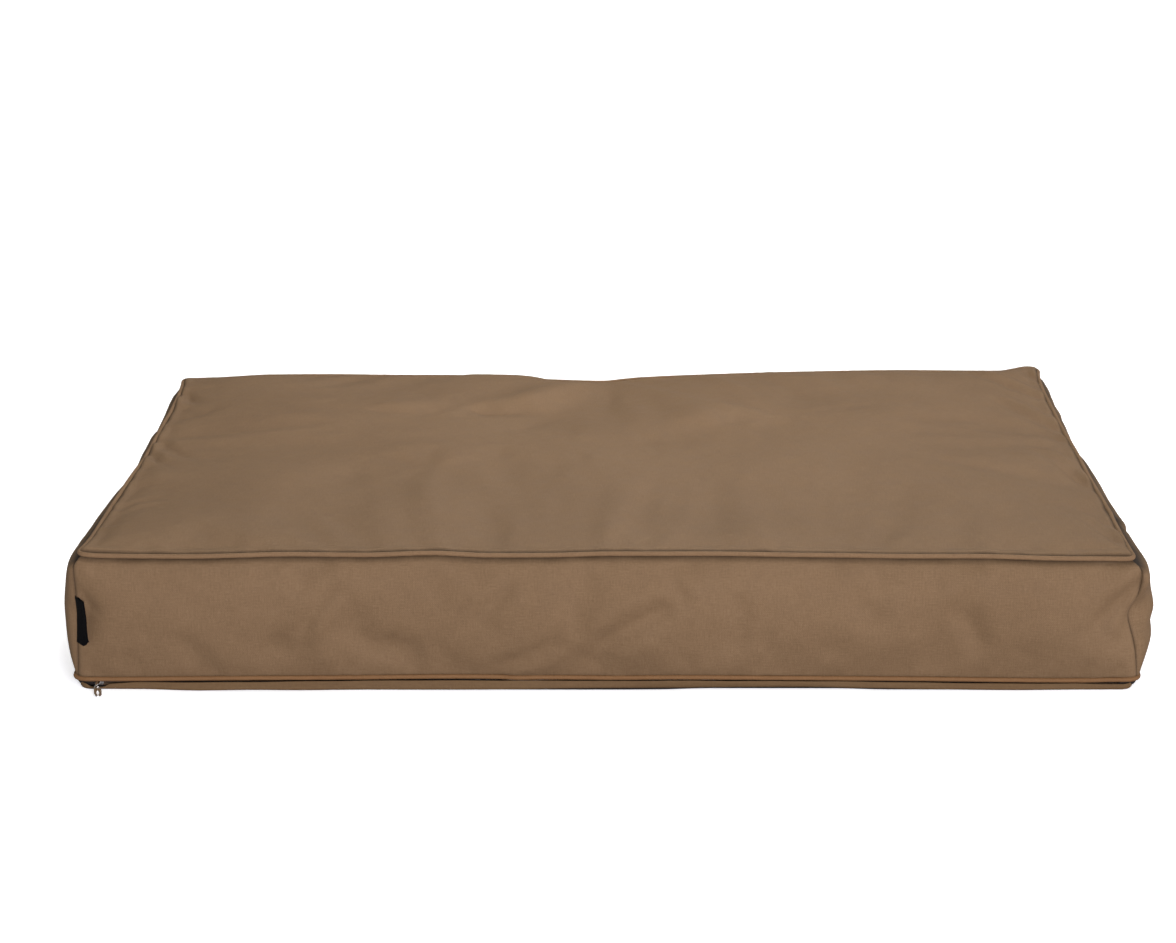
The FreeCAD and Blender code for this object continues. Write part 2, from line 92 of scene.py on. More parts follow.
class Lumps:
    """Smooth seeded noise over two coordinates, about -1 to 1."""

    def __init__(self, seed, wavelength, count=18, spread=0.5):
        r = np.random.default_rng(seed)
        a = r.uniform(0, 2 * math.pi, count)
        k = 2 * math.pi / (wavelength * r.uniform(1 - spread, 1 + spread, count))
        self.kx, self.ky, self.p = k * np.cos(a), k * np.sin(a), r.uniform(0, 2 * math.pi, count)
        self.n = math.sqrt(count / 2)

    def __call__(self, x, y):
        x, y = np.asarray(x, float), np.asarray(y, float)
        return np.sin(x[..., None] * self.kx + y[..., None] * self.ky + self.p).sum(-1) / self.n / 1.6


def line_distance(x, y, pts):
    """Signed distance from a polyline, and how far along it (0 to 1) the nearest point is."""
    pts = np.asarray(pts, float)
    best = np.full(np.shape(x), 1e9)
    sign = np.ones(np.shape(x))
    along = np.zeros(np.shape(x))
    seg = np.linalg.norm(np.diff(pts, axis=0), axis=1)
    total, done = seg.sum(), 0.0
    for (x0, y0), (x1, y1), length in zip(pts[:-1], pts[1:], seg):
        ux, uy = (x1 - x0) / length, (y1 - y0) / length
        t = np.clip((x - x0) * ux + (y - y0) * uy, 0, length)
        dx, dy = x - (x0 + ux * t), y - (y0 + uy * t)
        d = np.hypot(dx, dy)
        near = d < best
        best = np.where(near, d, best)
        sign = np.where(near, np.sign(ux * dy - uy * dx + 1e-12), sign)
        along = np.where(near, (done + t) / total, along)
        done += length
    return best * sign, along


def crease(x, y, pts, width, depth, lip=0.45, side=0.0, fade=0.22):
    """A valley along a line with a soft raised lip each side; side shifts height to one flank."""
    d, s = line_distance(x, y, pts)
    ends = smooth(s, 0.0, fade) * (1 - smooth(s, 1 - fade, 1.0))
    w = width
    body = -np.exp(-(d / w) ** 2) + lip * (np.exp(-((d - 1.9 * w) / (1.3 * w)) ** 2) * (1 + side) + np.exp(-((d + 1.9 * w) / (1.3 * w)) ** 2) * (1 - side))
    return depth * body * ends


def dimple(x, y, cx, cy, rx, ry, angle, depth):
    a = math.radians(angle)
    u = ((x - cx) * math.cos(a) + (y - cy) * math.sin(a)) / rx
    v = (-(x - cx) * math.sin(a) + (y - cy) * math.cos(a)) / ry
    return -depth * np.exp(-(u * u + v * v))


def step(x, y, pts, width, height, fade=0.25):
    """A soft terrace: one flank of the line stands higher than the other."""
    d, s = line_distance(x, y, pts)
    ends = smooth(s, 0.0, fade) * (1 - smooth(s, 1 - fade, 1.0))
    return height * ends * np.tanh(d / width) * np.exp(-(d / (7 * width)) ** 2)


# ------------------------------------------------------------------ seam lines
def side_xy(which, s, hx, hy, r, shape):
    """Points of one side of a rounded rectangle, from the middle of one corner to the middle of the next.
    s is 0 to 1 by distance; which is front, right, back or left, anticlockwise from above."""
    half_arc = r * math.pi / 4
    long = {"front": 2 * (hx - r), "back": 2 * (hx - r), "right": 2 * (hy - r), "left": 2 * (hy - r)}[which]
    total = long + 2 * half_arc
    d = np.asarray(s, float) * total
    u = np.empty_like(d)      # along the side
    w = np.empty_like(d)      # outward
    a0 = d < half_arc
    a1 = d > total - half_arc
    mid = ~a0 & ~a1
    half = long / 2
    th = math.pi / 4 - d[a0] / r
    u[a0], w[a0] = -half - r * np.sin(th), -r + r * np.cos(th)
    u[mid], w[mid] = -half + d[mid] - half_arc, 0
    th = (d[a1] - (total - half_arc)) / r
    u[a1], w[a1] = half + r * np.sin(th), -r + r * np.cos(th)
    if which == "front":
        return u, -hy - w
    if which == "back":
        return -u, hy + w
    if which == "right":
        return hx + w, u
    return -hx - w, -u


def top_shift(x, y):
    """How the top seam departs from a plain rectangle: returns dx, dy, z."""
    fx = smooth(np.abs(x), SX - 0.10, SX - 0.01)
    left, right = (x < 0) * fx, (x > 0) * fx
    dx = left * curve(y, [-.392, -.369, -.325, -.27, -.20, -.127, -.07, .01, .09, .164, .229, .289, .356, .392],
                      [.0022, .0058, .0084, .0090, .0086, .0106, .0122, .0130, .0126, .0112, .0101, .0087, .0051, .0015])
    dx = dx + right * curve(y, [-.396, -.348, -.28, -.20, -.11, -.03, .05, .14, .20, .27, .34, .375, .396],
                            [-.0012, -.0027, -.0034, -.0044, -.0056, -.0074, -.0085, -.0100, -.0106, -.0100, -.0082, -.0050, -.0012])
    zf = curve(x, [-.596, -.573, -.477, -.42, -.36, -.270, -.193, -.135, -.066, .0155, .144, .250, .3155, .42, .51, .555, .596],
               [.1624, .1604, .1592, .1606, .1618, .1610, .1628, .1606, .1606, .1628, .1622, .1602, .1594, .1592, .1572, .1566, .1560])
    zb = curve(x, [-.596, -.57, -.528, -.473, -.389, -.292, -.222, -.153, -.069, -.007, .042, .125, .263, .40, .54, .575, .596],
               [.1560, .1558, .1578, .1608, .1612, .1600, .1598, .1575, .1534, .1520, .1566, .1600, .1640, .1660, .1650, .1702, .1685])
    t = smooth(y, -SY, SY)
    t = 0.5 * t + 0.5 * np.clip((y + SY) / (2 * SY), 0, 1)
    z = zf * (1 - t) + zb * t
    z = z + fx * .0012 * np.sin(y * 31 + x * 3) * np.sin(np.pi * np.clip((y + SY) / (2 * SY), 0, 1))
    dy = np.where(y < 0, -.0008 * np.sin(x * 13 + 1.0) - .0006 * np.sin(x * 41), .0030 * np.exp(-((x + .02) / .10) ** 2) * -1.0) * smooth(np.abs(y), SY - 0.1, SY)
    return dx, dy, z


def bottom_shift(x, y):
    fx = smooth(np.abs(x), SX - 0.16, SX)
    fy = smooth(np.abs(y), SY - 0.14, SY)
    dx = np.sign(x) * fx * (.0068 + .0016 * np.sin(y * 17 + x) + np.where(x < 0, .0034, .0030) * smooth(-y, SY - .14, SY - .01))
    dy = np.where(y < 0, -.0005, .0040 + .0015 * np.sin(x * 11)) * fy * np.where(y < 0, 1, np.sign(y))
    wave = curve(x, [-.60, -.566, -.54, -.47, -.29, -.164, -.06, .017, .0765, .215, .354, .516, .545, .562, .592, .60],
                 [.0001, .0001, .0002, .0010, .0024, .0036, .0027, .0022, .0028, .0020, .0010, -.0006, -.0006, .0001, .0001, 0])
    other = .0012 * np.sin(x * 9 + y * 12)
    z = ZB + np.where(y < -SY + 0.05, wave, other * smooth(y, -SY, -SY + 0.1))
    return dx, dy, z


R_TOP, R_BOT = 0.0080, 0.0125
SIDES = ("front", "right", "back", "left")


def spaced(length, near, usual):
    """Distances from 0 to length, close together at both ends."""
    steps, d = [], near
    while d < usual:
        steps.append(d)
        d *= 1.35
    used = 2 * sum(steps)
    count = max(2, round((length - used) / usual))
    mid = [(length - used) / count] * count
    out = np.clip(np.concatenate([[0], np.cumsum(steps + mid + steps[::-1])]) / length, 0, 1)
    out[-1] = 1
    return out


GRID = 0.0095
U = spaced(2 * SX, 0.0016, GRID)
W = spaced(2 * SY, 0.0016, GRID)
T = spaced(0.147, 0.0012, GRID * 0.9)
NU, NW, NT = len(U), len(W), len(T)


def ring(top):
    """The seam of each side as points, and outward directions in plan."""
    out = {}
    for which in SIDES:
        s = U if which in ("front", "back") else W
        x, y = side_xy(which, s, SX, SY, R_TOP if top else R_BOT, None)
        e = 1e-4
        xa, ya = side_xy(which, np.clip(s - e, 0, 1), SX, SY, R_TOP if top else R_BOT, None)
        xb, yb = side_xy(which, np.clip(s + e, 0, 1), SX, SY, R_TOP if top else R_BOT, None)
        n = np.stack([yb - ya, -(xb - xa)], 1)
        n /= np.linalg.norm(n, axis=1)[:, None]
        dx, dy, z = (top_shift if top else bottom_shift)(x, y)
        out[which] = (np.stack([x + dx, y + dy, z], 1), n)
    # neighbouring sides share their corner point and its direction
    for a, b in zip(SIDES, SIDES[1:] + SIDES[:1]):
        p = (out[a][0][-1] + out[b][0][0]) / 2
        out[a][0][-1] = p
        out[b][0][0] = p
        n = out[a][1][-1] + out[b][1][0]
        n /= np.linalg.norm(n)
        out[a][1][-1] = n
        out[b][1][0] = n
    return out


TOP, BOT = ring(True), ring(False)

# ------------------------------------------------------------------ surfaces as grids
soft_a, soft_b, soft_c = Lumps(11, 0.30), Lumps(12, 0.13), Lumps(13, 0.055, 26)
pucker = {w: np.random.default_rng(40 + i) for i, w in enumerate(SIDES)}


def seam_puckers(seed, d, reach, size, pitch):
    """Small gathers along a seam: d is the distance along it, reach 1 at the seam and 0 away from it."""
    r = np.random.default_rng(seed)
    out = np.zeros_like(d)
    for k in range(7):
        f = 2 * math.pi / (pitch * r.uniform(0.55, 1.9))
        out = out + np.sin(d * f + r.uniform(0, 6.28)) * r.uniform(0.4, 1.0)
    gate = 0.55 + 0.45 * np.sin(d * 2 * math.pi / 0.23 + seed)
    return size * out / 2.2 * gate * reach


CORNERS = {
    "fl": ([0, .10, .25, .50, .70, .90, .965, 1], [0, .0008, .0020, .0030, .0055, .0085, .0050, 0]),
    "fr": ([0, .04, .18, .365, .46, .55, .62, .70, .85, .94, .975, 1], [0, .0020, .0015, -.0030, -.0080, -.0100, -.0060, .0045, .0142, .0110, .0048, 0]),
    "br": ([0, .20, .55, .85, .965, 1], [0, .0020, .0035, .0070, .0040, 0]),
    "bl": ([0, .20, .55, .85, .965, 1], [0, .0020, .0040, .0060, .0040, 0]),
}
painted_shade_here = {}


def band(which):
    """Grid of a side band, rows from the bottom seam to the top seam."""
    b, nb = BOT[which]
    t_, nt = TOP[which]
    n_cols = len(b)
    length = 2 * (SX if which in ("front", "back") else SY)
    s = (U if which in ("front", "back") else W)
    tt = T[:, None]
    base = b[None] * (1 - tt[..., None]) + t_[None] * tt[..., None]
    n = nb[None] * (1 - tt[..., None]) + nt[None] * tt[..., None]
    n = n / np.linalg.norm(n, axis=2)[..., None]
    d0 = (s * length)[None] + 0 * tt
    d1 = ((1 - s) * length)[None] + 0 * tt
    dc = np.minimum(d0, d1)
    u = base[..., 0] if which in ("front", "back") else base[..., 1]
    z = base[..., 2]
    # how far each side stands out of the straight line between its seams
    if which == "right":
        bow = curve(base[..., 1], [-.40, -.36, -.30, -.18, .0, .25, .40], [.0262, .0262, .0240, .0205, .0182, .0172, .0150])
    elif which == "left":
        bow = curve(base[..., 1], [-.40, -.36, -.30, -.18, .0, .25, .40], [.0215, .0222, .0215, .0196, .0180, .0166, .0150])
    else:
        bow = .0150 + 0 * tt
    if which in ("left", "right"):
        profile = curve(tt, [0, .04, .10, .172, .30, .42, .595, .77, .875, .935, .968, .985, 1], [0, .20, .44, .62, .80, .91, 1, .99, .90, .66, .26, -.04, 0])
    else:
        profile = curve(tt, [0, .04, .10, .20, .33, .48, .64, .80, .90, .950, .975, .988, 1], [0, .20, .42, .65, .84, .95, 1, .92, .70, .42, .14, -.03, 0])
    ends = 1 - np.exp(-(dc / (0.016 if which in ("left", "right") else 0.026)) ** 1.2)
    off = bow * profile * (0.06 + 0.94 * ends)
    # the seam is drawn in under the piping, which leaves a groove
    gap = (1 - tt) * .147
    if which in ("left", "right"):
        groove = .0105 * np.exp(-((gap - .0052) / .0038) ** 2)
    else:
        groove = .0034 * np.exp(-((gap - .0032) / .0021) ** 2)
    off = off - groove
    # soft lumps of the filling
    inner = np.abs(np.sin(np.pi * tt)) ** 0.8
    off = off + inner * ends * (.0024 * soft_a(u + ord(which[0]), z * 1.4) + .0013 * soft_b(u, z + ord(which[0])) + .00035 * soft_c(u, z + 3))
    # gathers at the seams
    near_top, near_bot = np.exp(-((1 - tt) * 0.147 / 0.013)), np.exp(-(tt * 0.147 / 0.016))
    here = 1 - np.exp(-((1 - tt) * 0.147 / 0.004))
    low = 1 - np.exp(-(tt * 0.147 / 0.004))
    seed = ord(which[0])
    off = off + seam_puckers(seed, d0, near_top * here, .0007, .030) + seam_puckers(seed + 5, d0, near_bot * low, .0007, .034)
    # the upright seam is pulled in a little
    off = off - .0016 * np.exp(-(dc / 0.0035) ** 2) * inner
    if which == "front":
        plain = off
        # a bent pleat and the hollows either side of it
        off = off + crease(u, z, [(-.300, .130), (-.313, .115), (-.327, .099), (-.337, .082), (-.348, .063)], .0072, .0046, .5, .4)
        off = off + dimple(u, z, -.366, .055, .026, .016, 20, .0050)
        off = off - dimple(u, z, -.316, .042, .013, .016, 50, .0026)
        off = off + dimple(u, z, -.236, .053, .044, .017, -6, .0050)
        off = off + dimple(u, z, -.280, .066, .020, .012, -25, .0020)
        # a long pleat that rises to the right, in two parts
        off = off + crease(u, z, [(-.097, .134), (-.112, .121), (-.125, .109), (-.140, .094)], .0080, .0040, .5, .5)
        off = off - dimple(u, z, -.140, .108, .012, .020, 40, .0016)
        off = off + crease(u, z, [(-.040, .066), (-.068, .053), (-.094, .041), (-.124, .028)], .0085, .0034, .55, .5)
        off = off - dimple(u, z, -.150, .046, .020, .014, 20, .0022)
        off = off + dimple(u, z, -.014, .044, .040, .018, 10, .0030)
        # the deepest one
        off = off + crease(u, z, [(-.022, .055), (.002, .067), (.026, .080), (.054, .095), (.088, .110)], .0120, .0058, .5, .6)
        off = off - dimple(u, z, .046, .060, .030, .014, 22, .0034)
        off = off + crease(u, z, [(.068, .140), (.078, .130), (.089, .116), (.098, .103)], .0058, .0030, .5, .3)
        # a pair of hollows that meet, and the swell between them and the last pleat
        off = off + dimple(u, z, .398, .094, .015, .016, 30, .0042)
        off = off + dimple(u, z, .419, .070, .013, .020, 25, .0048)
        off = off - dimple(u, z, .352, .067, .022, .014, 0, .0030)
        off = off + dimple(u, z, .302, .092, .016, .018, 10, .0024)
        off = off + dimple(u, z, .256, .054, .034, .017, 8, .0036)
        off = off + dimple(u, z, .160, .058, .050, .016, 0, .0020)
        off = off + dimple(u, z, .470, .050, .045, .016, -6, .0034)
        off = off + dimple(u, z, .196, .126, .030, .010, -15, .0010)
        off = off + dimple(u, z, -.470, .056, .055, .018, 8, .0028)
        # drawn in from the right-hand corner
        off = off + crease(u, z, [(.603, .147), (.587, .123), (.570, .101), (.552, .072)], .0095, .0066, .5, .6, .22)
        off = off + crease(u, z, [(.480, .157), (.484, .147), (.487, .140)], .0034, .0018, .5)
        off = off + crease(u, z, [(-.574, .160), (-.570, .150), (-.566, .142)], .0034, .0018, .5)
        off = off + crease(u, z, [(.305, .158), (.308, .149), (.312, .142)], .0034, .0020, .5)
        off = off + crease(u, z, [(.004, .158), (.006, .149), (.006, .140)], .0030, .0014, .5)
        # pressed in behind the label
        off = off + dimple(u, z, -.583, .088, .010, .036, -8, .0044)
        off = off + crease(u, z, [(-.590, .120), (-.580, .107), (-.572, .094)], .0050, .0026, .4)
        off = plain + 1.20 * (off - plain)
    if which == "right":
        off = off + crease(u, z, [(-.398, .074), (-.375, .068), (-.345, .074), (-.30, .092)], .0090, .0036, .5, .2, .30)
        off = off + crease(u, z, [(-.26, .150), (-.22, .120), (-.17, .102)], .008, .0028, .5, .4)
        off = off + crease(u, z, [(.05, .155), (.08, .128), (.13, .110)], .007, .0024, .5, -.4)
        off = off + crease(u, z, [(.24, .150), (.25, .120), (.29, .090)], .007, .0022, .5, .4)
        off = off + dimple(u, z, .16, .055, .07, .016, 6, .0026)
        off = off + dimple(u, z, -.14, .050, .06, .015, -8, .0026)
    if which == "left":
        off = off + dimple(u, z, -.02, .120, .06, .022, 4, .0040)
        off = off + crease(u, z, [(.05, .155), (.01, .130), (-.04, .112)], .007, .0024, .5, .4)
        off = off + crease(u, z, [(.20, .150), (.17, .118), (.16, .085)], .008, .0022, .5, -.4)
        off = off + dimple(u, z, .26, .055, .06, .016, -6, .0026)
        off = off + dimple(u, z, -.20, .052, .07, .015, 6, .0024)
    if which == "back":
        off = off + crease(u, z, [(-.02, .150), (.0, .120), (.015, .085)], .014, .0042, .5, .2)
        off = off + crease(u, z, [(-.33, .148), (-.30, .115), (-.26, .085)], .008, .0026, .5, .4)
        off = off + crease(u, z, [(.36, .148), (.33, .112), (.31, .080)], .008, .0024, .5, -.4)
        off = off + dimple(u, z, .17, .052, .07, .015, 5, .0026)
        off = off + dimple(u, z, -.16, .050, .06, .015, -6, .0026)
        off = off + dimple(u, z, -.46, .060, .05, .018, 9, .0022)
    p = base.copy()
    p[..., 0] += n[..., 0] * off
    p[..., 1] += n[..., 1] * off
    # the upright corner seams stand out or buckle along their own lines
    reach = lambda d: np.exp(-(d / (.024 if which in ("front", "back") else .015)) ** 2)
    start, finish = {"front": ("fl", "fr"), "right": ("fr", "br"), "back": ("br", "bl"), "left": ("bl", "fl")}[which]
    for corner, d in ((start, d0), (finish, d1)):
        ts, out = CORNERS[corner]
        sx = 1 if corner[1] == "r" else -1
        sy = -1 if corner[0] == "f" else 1
        push = curve(tt, ts, out) * reach(d) * .7071
        p[..., 0] += push * sx
        p[..., 1] += push * sy
    # painted shade: how dark the cloth is painted in the groove under the top piping (near black on the left and
    # right), along the bottom seam and along the upright corner seams, standing in for the shadow there
    painted_shade_here[which] = np.clip(
        (.97 * np.exp(-((gap - .0052) / .0070) ** 4) if which in ("left", "right") else .72 * np.exp(-((gap - .0026) / .0026) ** 2))
        + .45 * np.exp(-(tt * .147 / .0030) ** 2)
        + .55 * np.exp(-(dc / .0012) ** 2), 0, 1)
    return p, u, z


def top_grid():
    f, r, b, l = (TOP[w][0] for w in SIDES)
    u, w = U[:, None, None], W[None, :, None]
    b, l = b[::-1], l[::-1]                      # back from left to right, left from front to back
    c = f[0], f[-1], b[-1], b[0]                 # front left, front right, back right, back left
    p = ((1 - w) * f[:, None] + w * b[:, None] + (1 - u) * l[None] + u * r[None]
         - ((1 - u) * (1 - w) * c[0] + u * (1 - w) * c[1] + u * w * c[2] + (1 - u) * w * c[3]))
    x, y = p[..., 0], p[..., 1]
    du = np.minimum(U, 1 - U)[:, None] * 2 * SX + 0 * W[None]
    dw = np.minimum(W, 1 - W)[None] * 2 * SY + 0 * U[:, None]
    roll = lambda d: np.sqrt(np.clip(1 - (1 - np.clip(d / .0085, 0, 1)) ** 2, 0, 1))
    lift = .0052 * roll(du) * roll(dw)
    crown = .0105 * (np.abs(np.sin(np.pi * U))[:, None] ** 0.55) * (np.abs(np.sin(np.pi * W))[None] ** 0.60)
    inner = smooth(np.minimum(du, dw), .004, .060)
    h = lift + crown
    # a shallow bead where the seam allowance lies under the cloth
    edge = np.minimum(du, dw)
    h = h + .0013 * np.exp(-((edge - .0078) / .0042) ** 2) - .0016 * np.exp(-((edge - .0170) / .0055) ** 2)
    # painted shade: a dark line on the top panel just inside the piping, standing in for the shadow at its foot
    painted_shade_here["top"] = .70 * (1 - smooth(edge, .0024, .0050))
    # soft filling
    h = h + inner * (.0038 * soft_a(x, y) + .0013 * soft_b(x, y) + .00035 * soft_c(x, y))
    # the two chambers part a little over the middle, most at the back
    h = h - inner * .0060 * np.exp(-((x + .02) / .085) ** 2) * smooth(y, -.10, .40)
    # long soft folds
    plain = h
    for pts, wd, ht in (
        ([(-.255, .200), (-.200, .196), (-.150, .198), (-.095, .200), (-.060, .240), (-.030, .290), (.004, .345), (.014, .385)], .0210, .0062),
        ([(-.330, .175), (-.270, .150), (-.215, .138), (-.160, .136)], .0130, .0042),
        ([(-.080, -.020), (-.039, -.003), (.010, .014), (.060, .042), (.110, .078), (.165, .112), (.240, .140)], .0160, .0066),
        ([(.120, .300), (.180, .270), (.260, .262), (.340, .275)], .0140, .0030),
        ([(.060, -.120), (.140, -.150), (.230, -.150), (.330, -.120)], .0170, .0040),
        ([(-.300, -.060), (-.210, -.090), (-.120, -.088)], .0160, .0032),
    ):
        h = h + step(x, y, pts, wd, ht, .26)
    h = h + crease(x, y, [(-.235, .180), (-.150, .176), (-.080, .184), (-.040, .245), (.006, .325)], .018, .0026, .6, .2, .25)
    h = h + dimple(x, y, -.02, .345, .060, .045, 0, .0030)
    # folds drawn into the right-hand seam
    for pts, wd, dp in (
        ([(.470, .372), (.520, .310), (.558, .255), (.588, .215)], .0085, .0048),
        ([(.500, .250), (.540, .165), (.566, .110), (.590, .070)], .0080, .0042),
        ([(.545, .120), (.565, .060), (.588, .020)], .0060, .0028),
        ([(.528, .010), (.556, -.070), (.574, -.125), (.592, -.170)], .0075, .0040),
        ([(.540, -.250), (.562, -.310), (.580, -.352), (.593, -.380)], .0070, .0038),
        ([(.566, .372), (.578, .340), (.591, .310)], .0055, .0034),
    ):
        h = h + crease(x, y, pts, wd, dp, .6, .5, .28)
    for pts, wd, dp in (
        ([(-.590, .092), (-.560, .035), (-.526, -.033)], .0080, .0040),
        ([(-.588, .030), (-.566, -.020), (-.545, -.070)], .0065, .0030),
        ([(-.588, .318), (-.566, .270), (-.546, .229)], .0075, .0038),
        ([(-.588, -.240), (-.560, -.215), (-.520, -.200)], .0060, .0024),
    ):
        h = h + crease(x, y, pts, wd, dp, .6, -.4, .28)
    h = plain + 1.22 * (h - plain)
    # gathers along the seams
    near_u = np.exp(-(du / .014)) * (1 - np.exp(-(du / .004)))
    near_w = np.exp(-(dw / .014)) * (1 - np.exp(-(dw / .004)))
    h = h + seam_puckers(3, y + (x > 0) * 3.0, near_u, .0012, .034) + seam_puckers(8, x + (y > 0) * 3.0, near_w, .0009, .032)
    p[..., 2] += h
    return p, x, y


def base_grid():
    f, r, b, l = (BOT[w][0] for w in SIDES)
    u, w = U[:, None, None], W[None, :, None]
    b, l = b[::-1], l[::-1]
    c = f[0], f[-1], b[-1], b[0]
    p = ((1 - w) * f[:, None] + w * b[:, None] + (1 - u) * l[None] + u * r[None]
         - ((1 - u) * (1 - w) * c[0] + u * (1 - w) * c[1] + u * w * c[2] + (1 - u) * w * c[3]))
    return p


P_top, top_u, top_v = top_grid()
bands = {w: band(w) for w in SIDES}
# neighbouring bands meet exactly at the upright seams, and every band meets the top panel exactly
for a, b in zip(SIDES, SIDES[1:] + SIDES[:1]):
    m = (bands[a][0][:, -1] + bands[b][0][:, 0]) / 2
    bands[a][0][:, -1] = m
    bands[b][0][:, 0] = m
P_top[:, 0] = bands["front"][0][-1]
P_top[-1, :] = bands["right"][0][-1]
P_top[:, -1] = bands["back"][0][-1][::-1]
P_top[0, :] = bands["left"][0][-1][::-1]


# ------------------------------------------------------------------ one welded sheet for the cloth run
def number_grids():
    ids, count = {}, 0
    top = np.arange(NU * NW).reshape(NU, NW)
    ids["top"] = top
    count = NU * NW
    for w in SIDES:
        cols = NU if w in ("front", "back") else NW
        g = np.full((NT, cols), -1)
        g[-1] = {"front": top[:, 0], "right": top[-1, :], "back": top[::-1, -1], "left": top[0, ::-1]}[w]
        ids[w] = g
    for i, w in enumerate(SIDES):
        g = ids[w]
        for j in range(NT - 1):
            if g[j, 0] < 0:
                g[j, 0] = count
                count += 1
        prev = ids[SIDES[i - 1]]
        prev[: NT - 1, -1] = g[: NT - 1, 0]
    for w in SIDES:
        g = ids[w]
        inner = g[: NT - 1, 1:-1]
        k = inner.size
        g[: NT - 1, 1:-1] = np.arange(count, count + k).reshape(inner.shape)
        count += k
    return ids, count


IDS, COUNT = number_grids()
REST = np.zeros((COUNT, 3))
REST[IDS["top"]] = P_top
for w in SIDES:
    REST[IDS[w]] = bands[w][0]


def quads(g, flip=False):
    a, b, c, d = g[:-1, :-1].ravel(), g[1:, :-1].ravel(), g[1:, 1:].ravel(), g[:-1, 1:].ravel()
    q = np.stack([a, b, c, d], 1)
    return q[:, ::-1] if flip else q


FACES = np.concatenate([quads(IDS["top"])] + [quads(IDS[w], True) for w in SIDES])


def mesh_object(name, verts, faces):
    me = bpy.data.meshes.new(name)
    me.from_pydata([tuple(map(float, v)) for v in verts], [], [tuple(int(i) for i in f) for f in faces])
    me.update()
    o = bpy.data.objects.new(name, me)
    scene.collection.objects.link(o)
    return o


def coords(o):
    me = o.data
    c = np.empty(len(me.vertices) * 3)
    me.vertices.foreach_get("co", c)
    return c.reshape(-1, 3)


def soften(field, faces, fixed, times):
    """Averages a vector at every point with its neighbours, holding it at zero along the seams."""
    e = np.concatenate([faces[:, [0, 1]], faces[:, [1, 2]], faces[:, [2, 3]], faces[:, [3, 0]]])
    a, b = np.concatenate([e[:, 0], e[:, 1]]), np.concatenate([e[:, 1], e[:, 0]])
    deg = np.bincount(a, minlength=len(field)).astype(float)
    f = field.copy()
    for _ in range(times):
        s = np.stack([np.bincount(a, weights=f[b, k], minlength=len(f)) for k in range(3)], 1)
        f = (f + s / deg[:, None]) / 2
        f[fixed] = 0
    return f


def cloth_run(rest, faces, pinned, frames=20, pressure=4.0, swell=-0.006, cap=0.006, quality=6, keep=0.10):
    """Lets the cover settle over its filling. The filling holds the broad shape, so only a share of the
    broad movement is kept; the wrinkles that form are kept up to a cap."""
    o = mesh_object("cloth_run", rest, faces)
    g = o.vertex_groups.new(name="pin")
    for weight in sorted(set(np.round(pinned, 3))):
        if weight > 0:
            g.add([int(i) for i in np.flatnonzero(np.round(pinned, 3) == weight)], float(weight), "REPLACE")
    m = o.modifiers.new("Cloth", "CLOTH")
    s = m.settings
    s.vertex_group_mass = "pin"
    s.pin_stiffness = 1.0
    s.use_pressure = True
    s.uniform_pressure_force = pressure
    s.quality = quality
    s.mass = 0.45
    s.tension_stiffness = s.compression_stiffness = 60
    s.shear_stiffness = 25
    s.bending_model = "ANGULAR"
    s.bending_stiffness = 6.0
    s.tension_damping = s.compression_damping = 12
    s.shear_damping = 12
    s.bending_damping = 2.0
    s.air_damping = 4.0
    s.shrink_min = swell
    s.effector_weights.gravity = 0.0
    m.collision_settings.use_collision = False
    m.point_cache.frame_start, m.point_cache.frame_end = 1, frames
    scene.frame_start, scene.frame_end = 1, frames
    for f in range(1, frames + 1):
        scene.frame_set(f)
    dg = bpy.context.evaluated_depsgraph_get()
    e = o.evaluated_get(dg)
    c = np.empty(len(e.data.vertices) * 3)
    e.data.vertices.foreach_get("co", c)
    new = c.reshape(-1, 3)
    move = new - rest
    far = np.linalg.norm(move, axis=1)
    print("cloth moved mm: mean %.2f  95%% %.2f  max %.2f" % (far.mean() * 1e3, np.percentile(far, 95) * 1e3, far.max() * 1e3))
    move = np.where(np.isfinite(move), move, 0)
    broad = soften(move, faces, pinned > 0.99, 60)
    fine = move - broad
    far = np.linalg.norm(fine, axis=1)
    print("wrinkles mm: mean %.2f  95%% %.2f  max %.2f" % (far.mean() * 1e3, np.percentile(far, 95) * 1e3, far.max() * 1e3))
    fine *= (cap * np.tanh(far / cap) / np.maximum(far, 1e-9))[:, None]
    move = fine + broad * keep
    scene.frame_set(1)
    me = o.data
    bpy.data.objects.remove(o)
    bpy.data.meshes.remove(me)
    return rest + move


NOW = REST.copy()
pinned = np.zeros(COUNT)
for w in SIDES:
    pinned[IDS[w][0]] = 1
    pinned[IDS[w][-1]] = 1
    pinned[IDS[w][:, 0]] = np.maximum(pinned[IDS[w][:, 0]], 0.9)
NOW = cloth_run(REST, FACES, pinned)
NOW[:, 2] = np.maximum(NOW[:, 2], 0.002)


# ------------------------------------------------------------------ materials
def srgb(r, g, b):
    f = lambda c: c / 12.92 if c <= 0.04045 else ((c + 0.055) / 1.055) ** 2.4
    return tuple(f(c / 255) for c in (r, g, b)) + (1.0,)


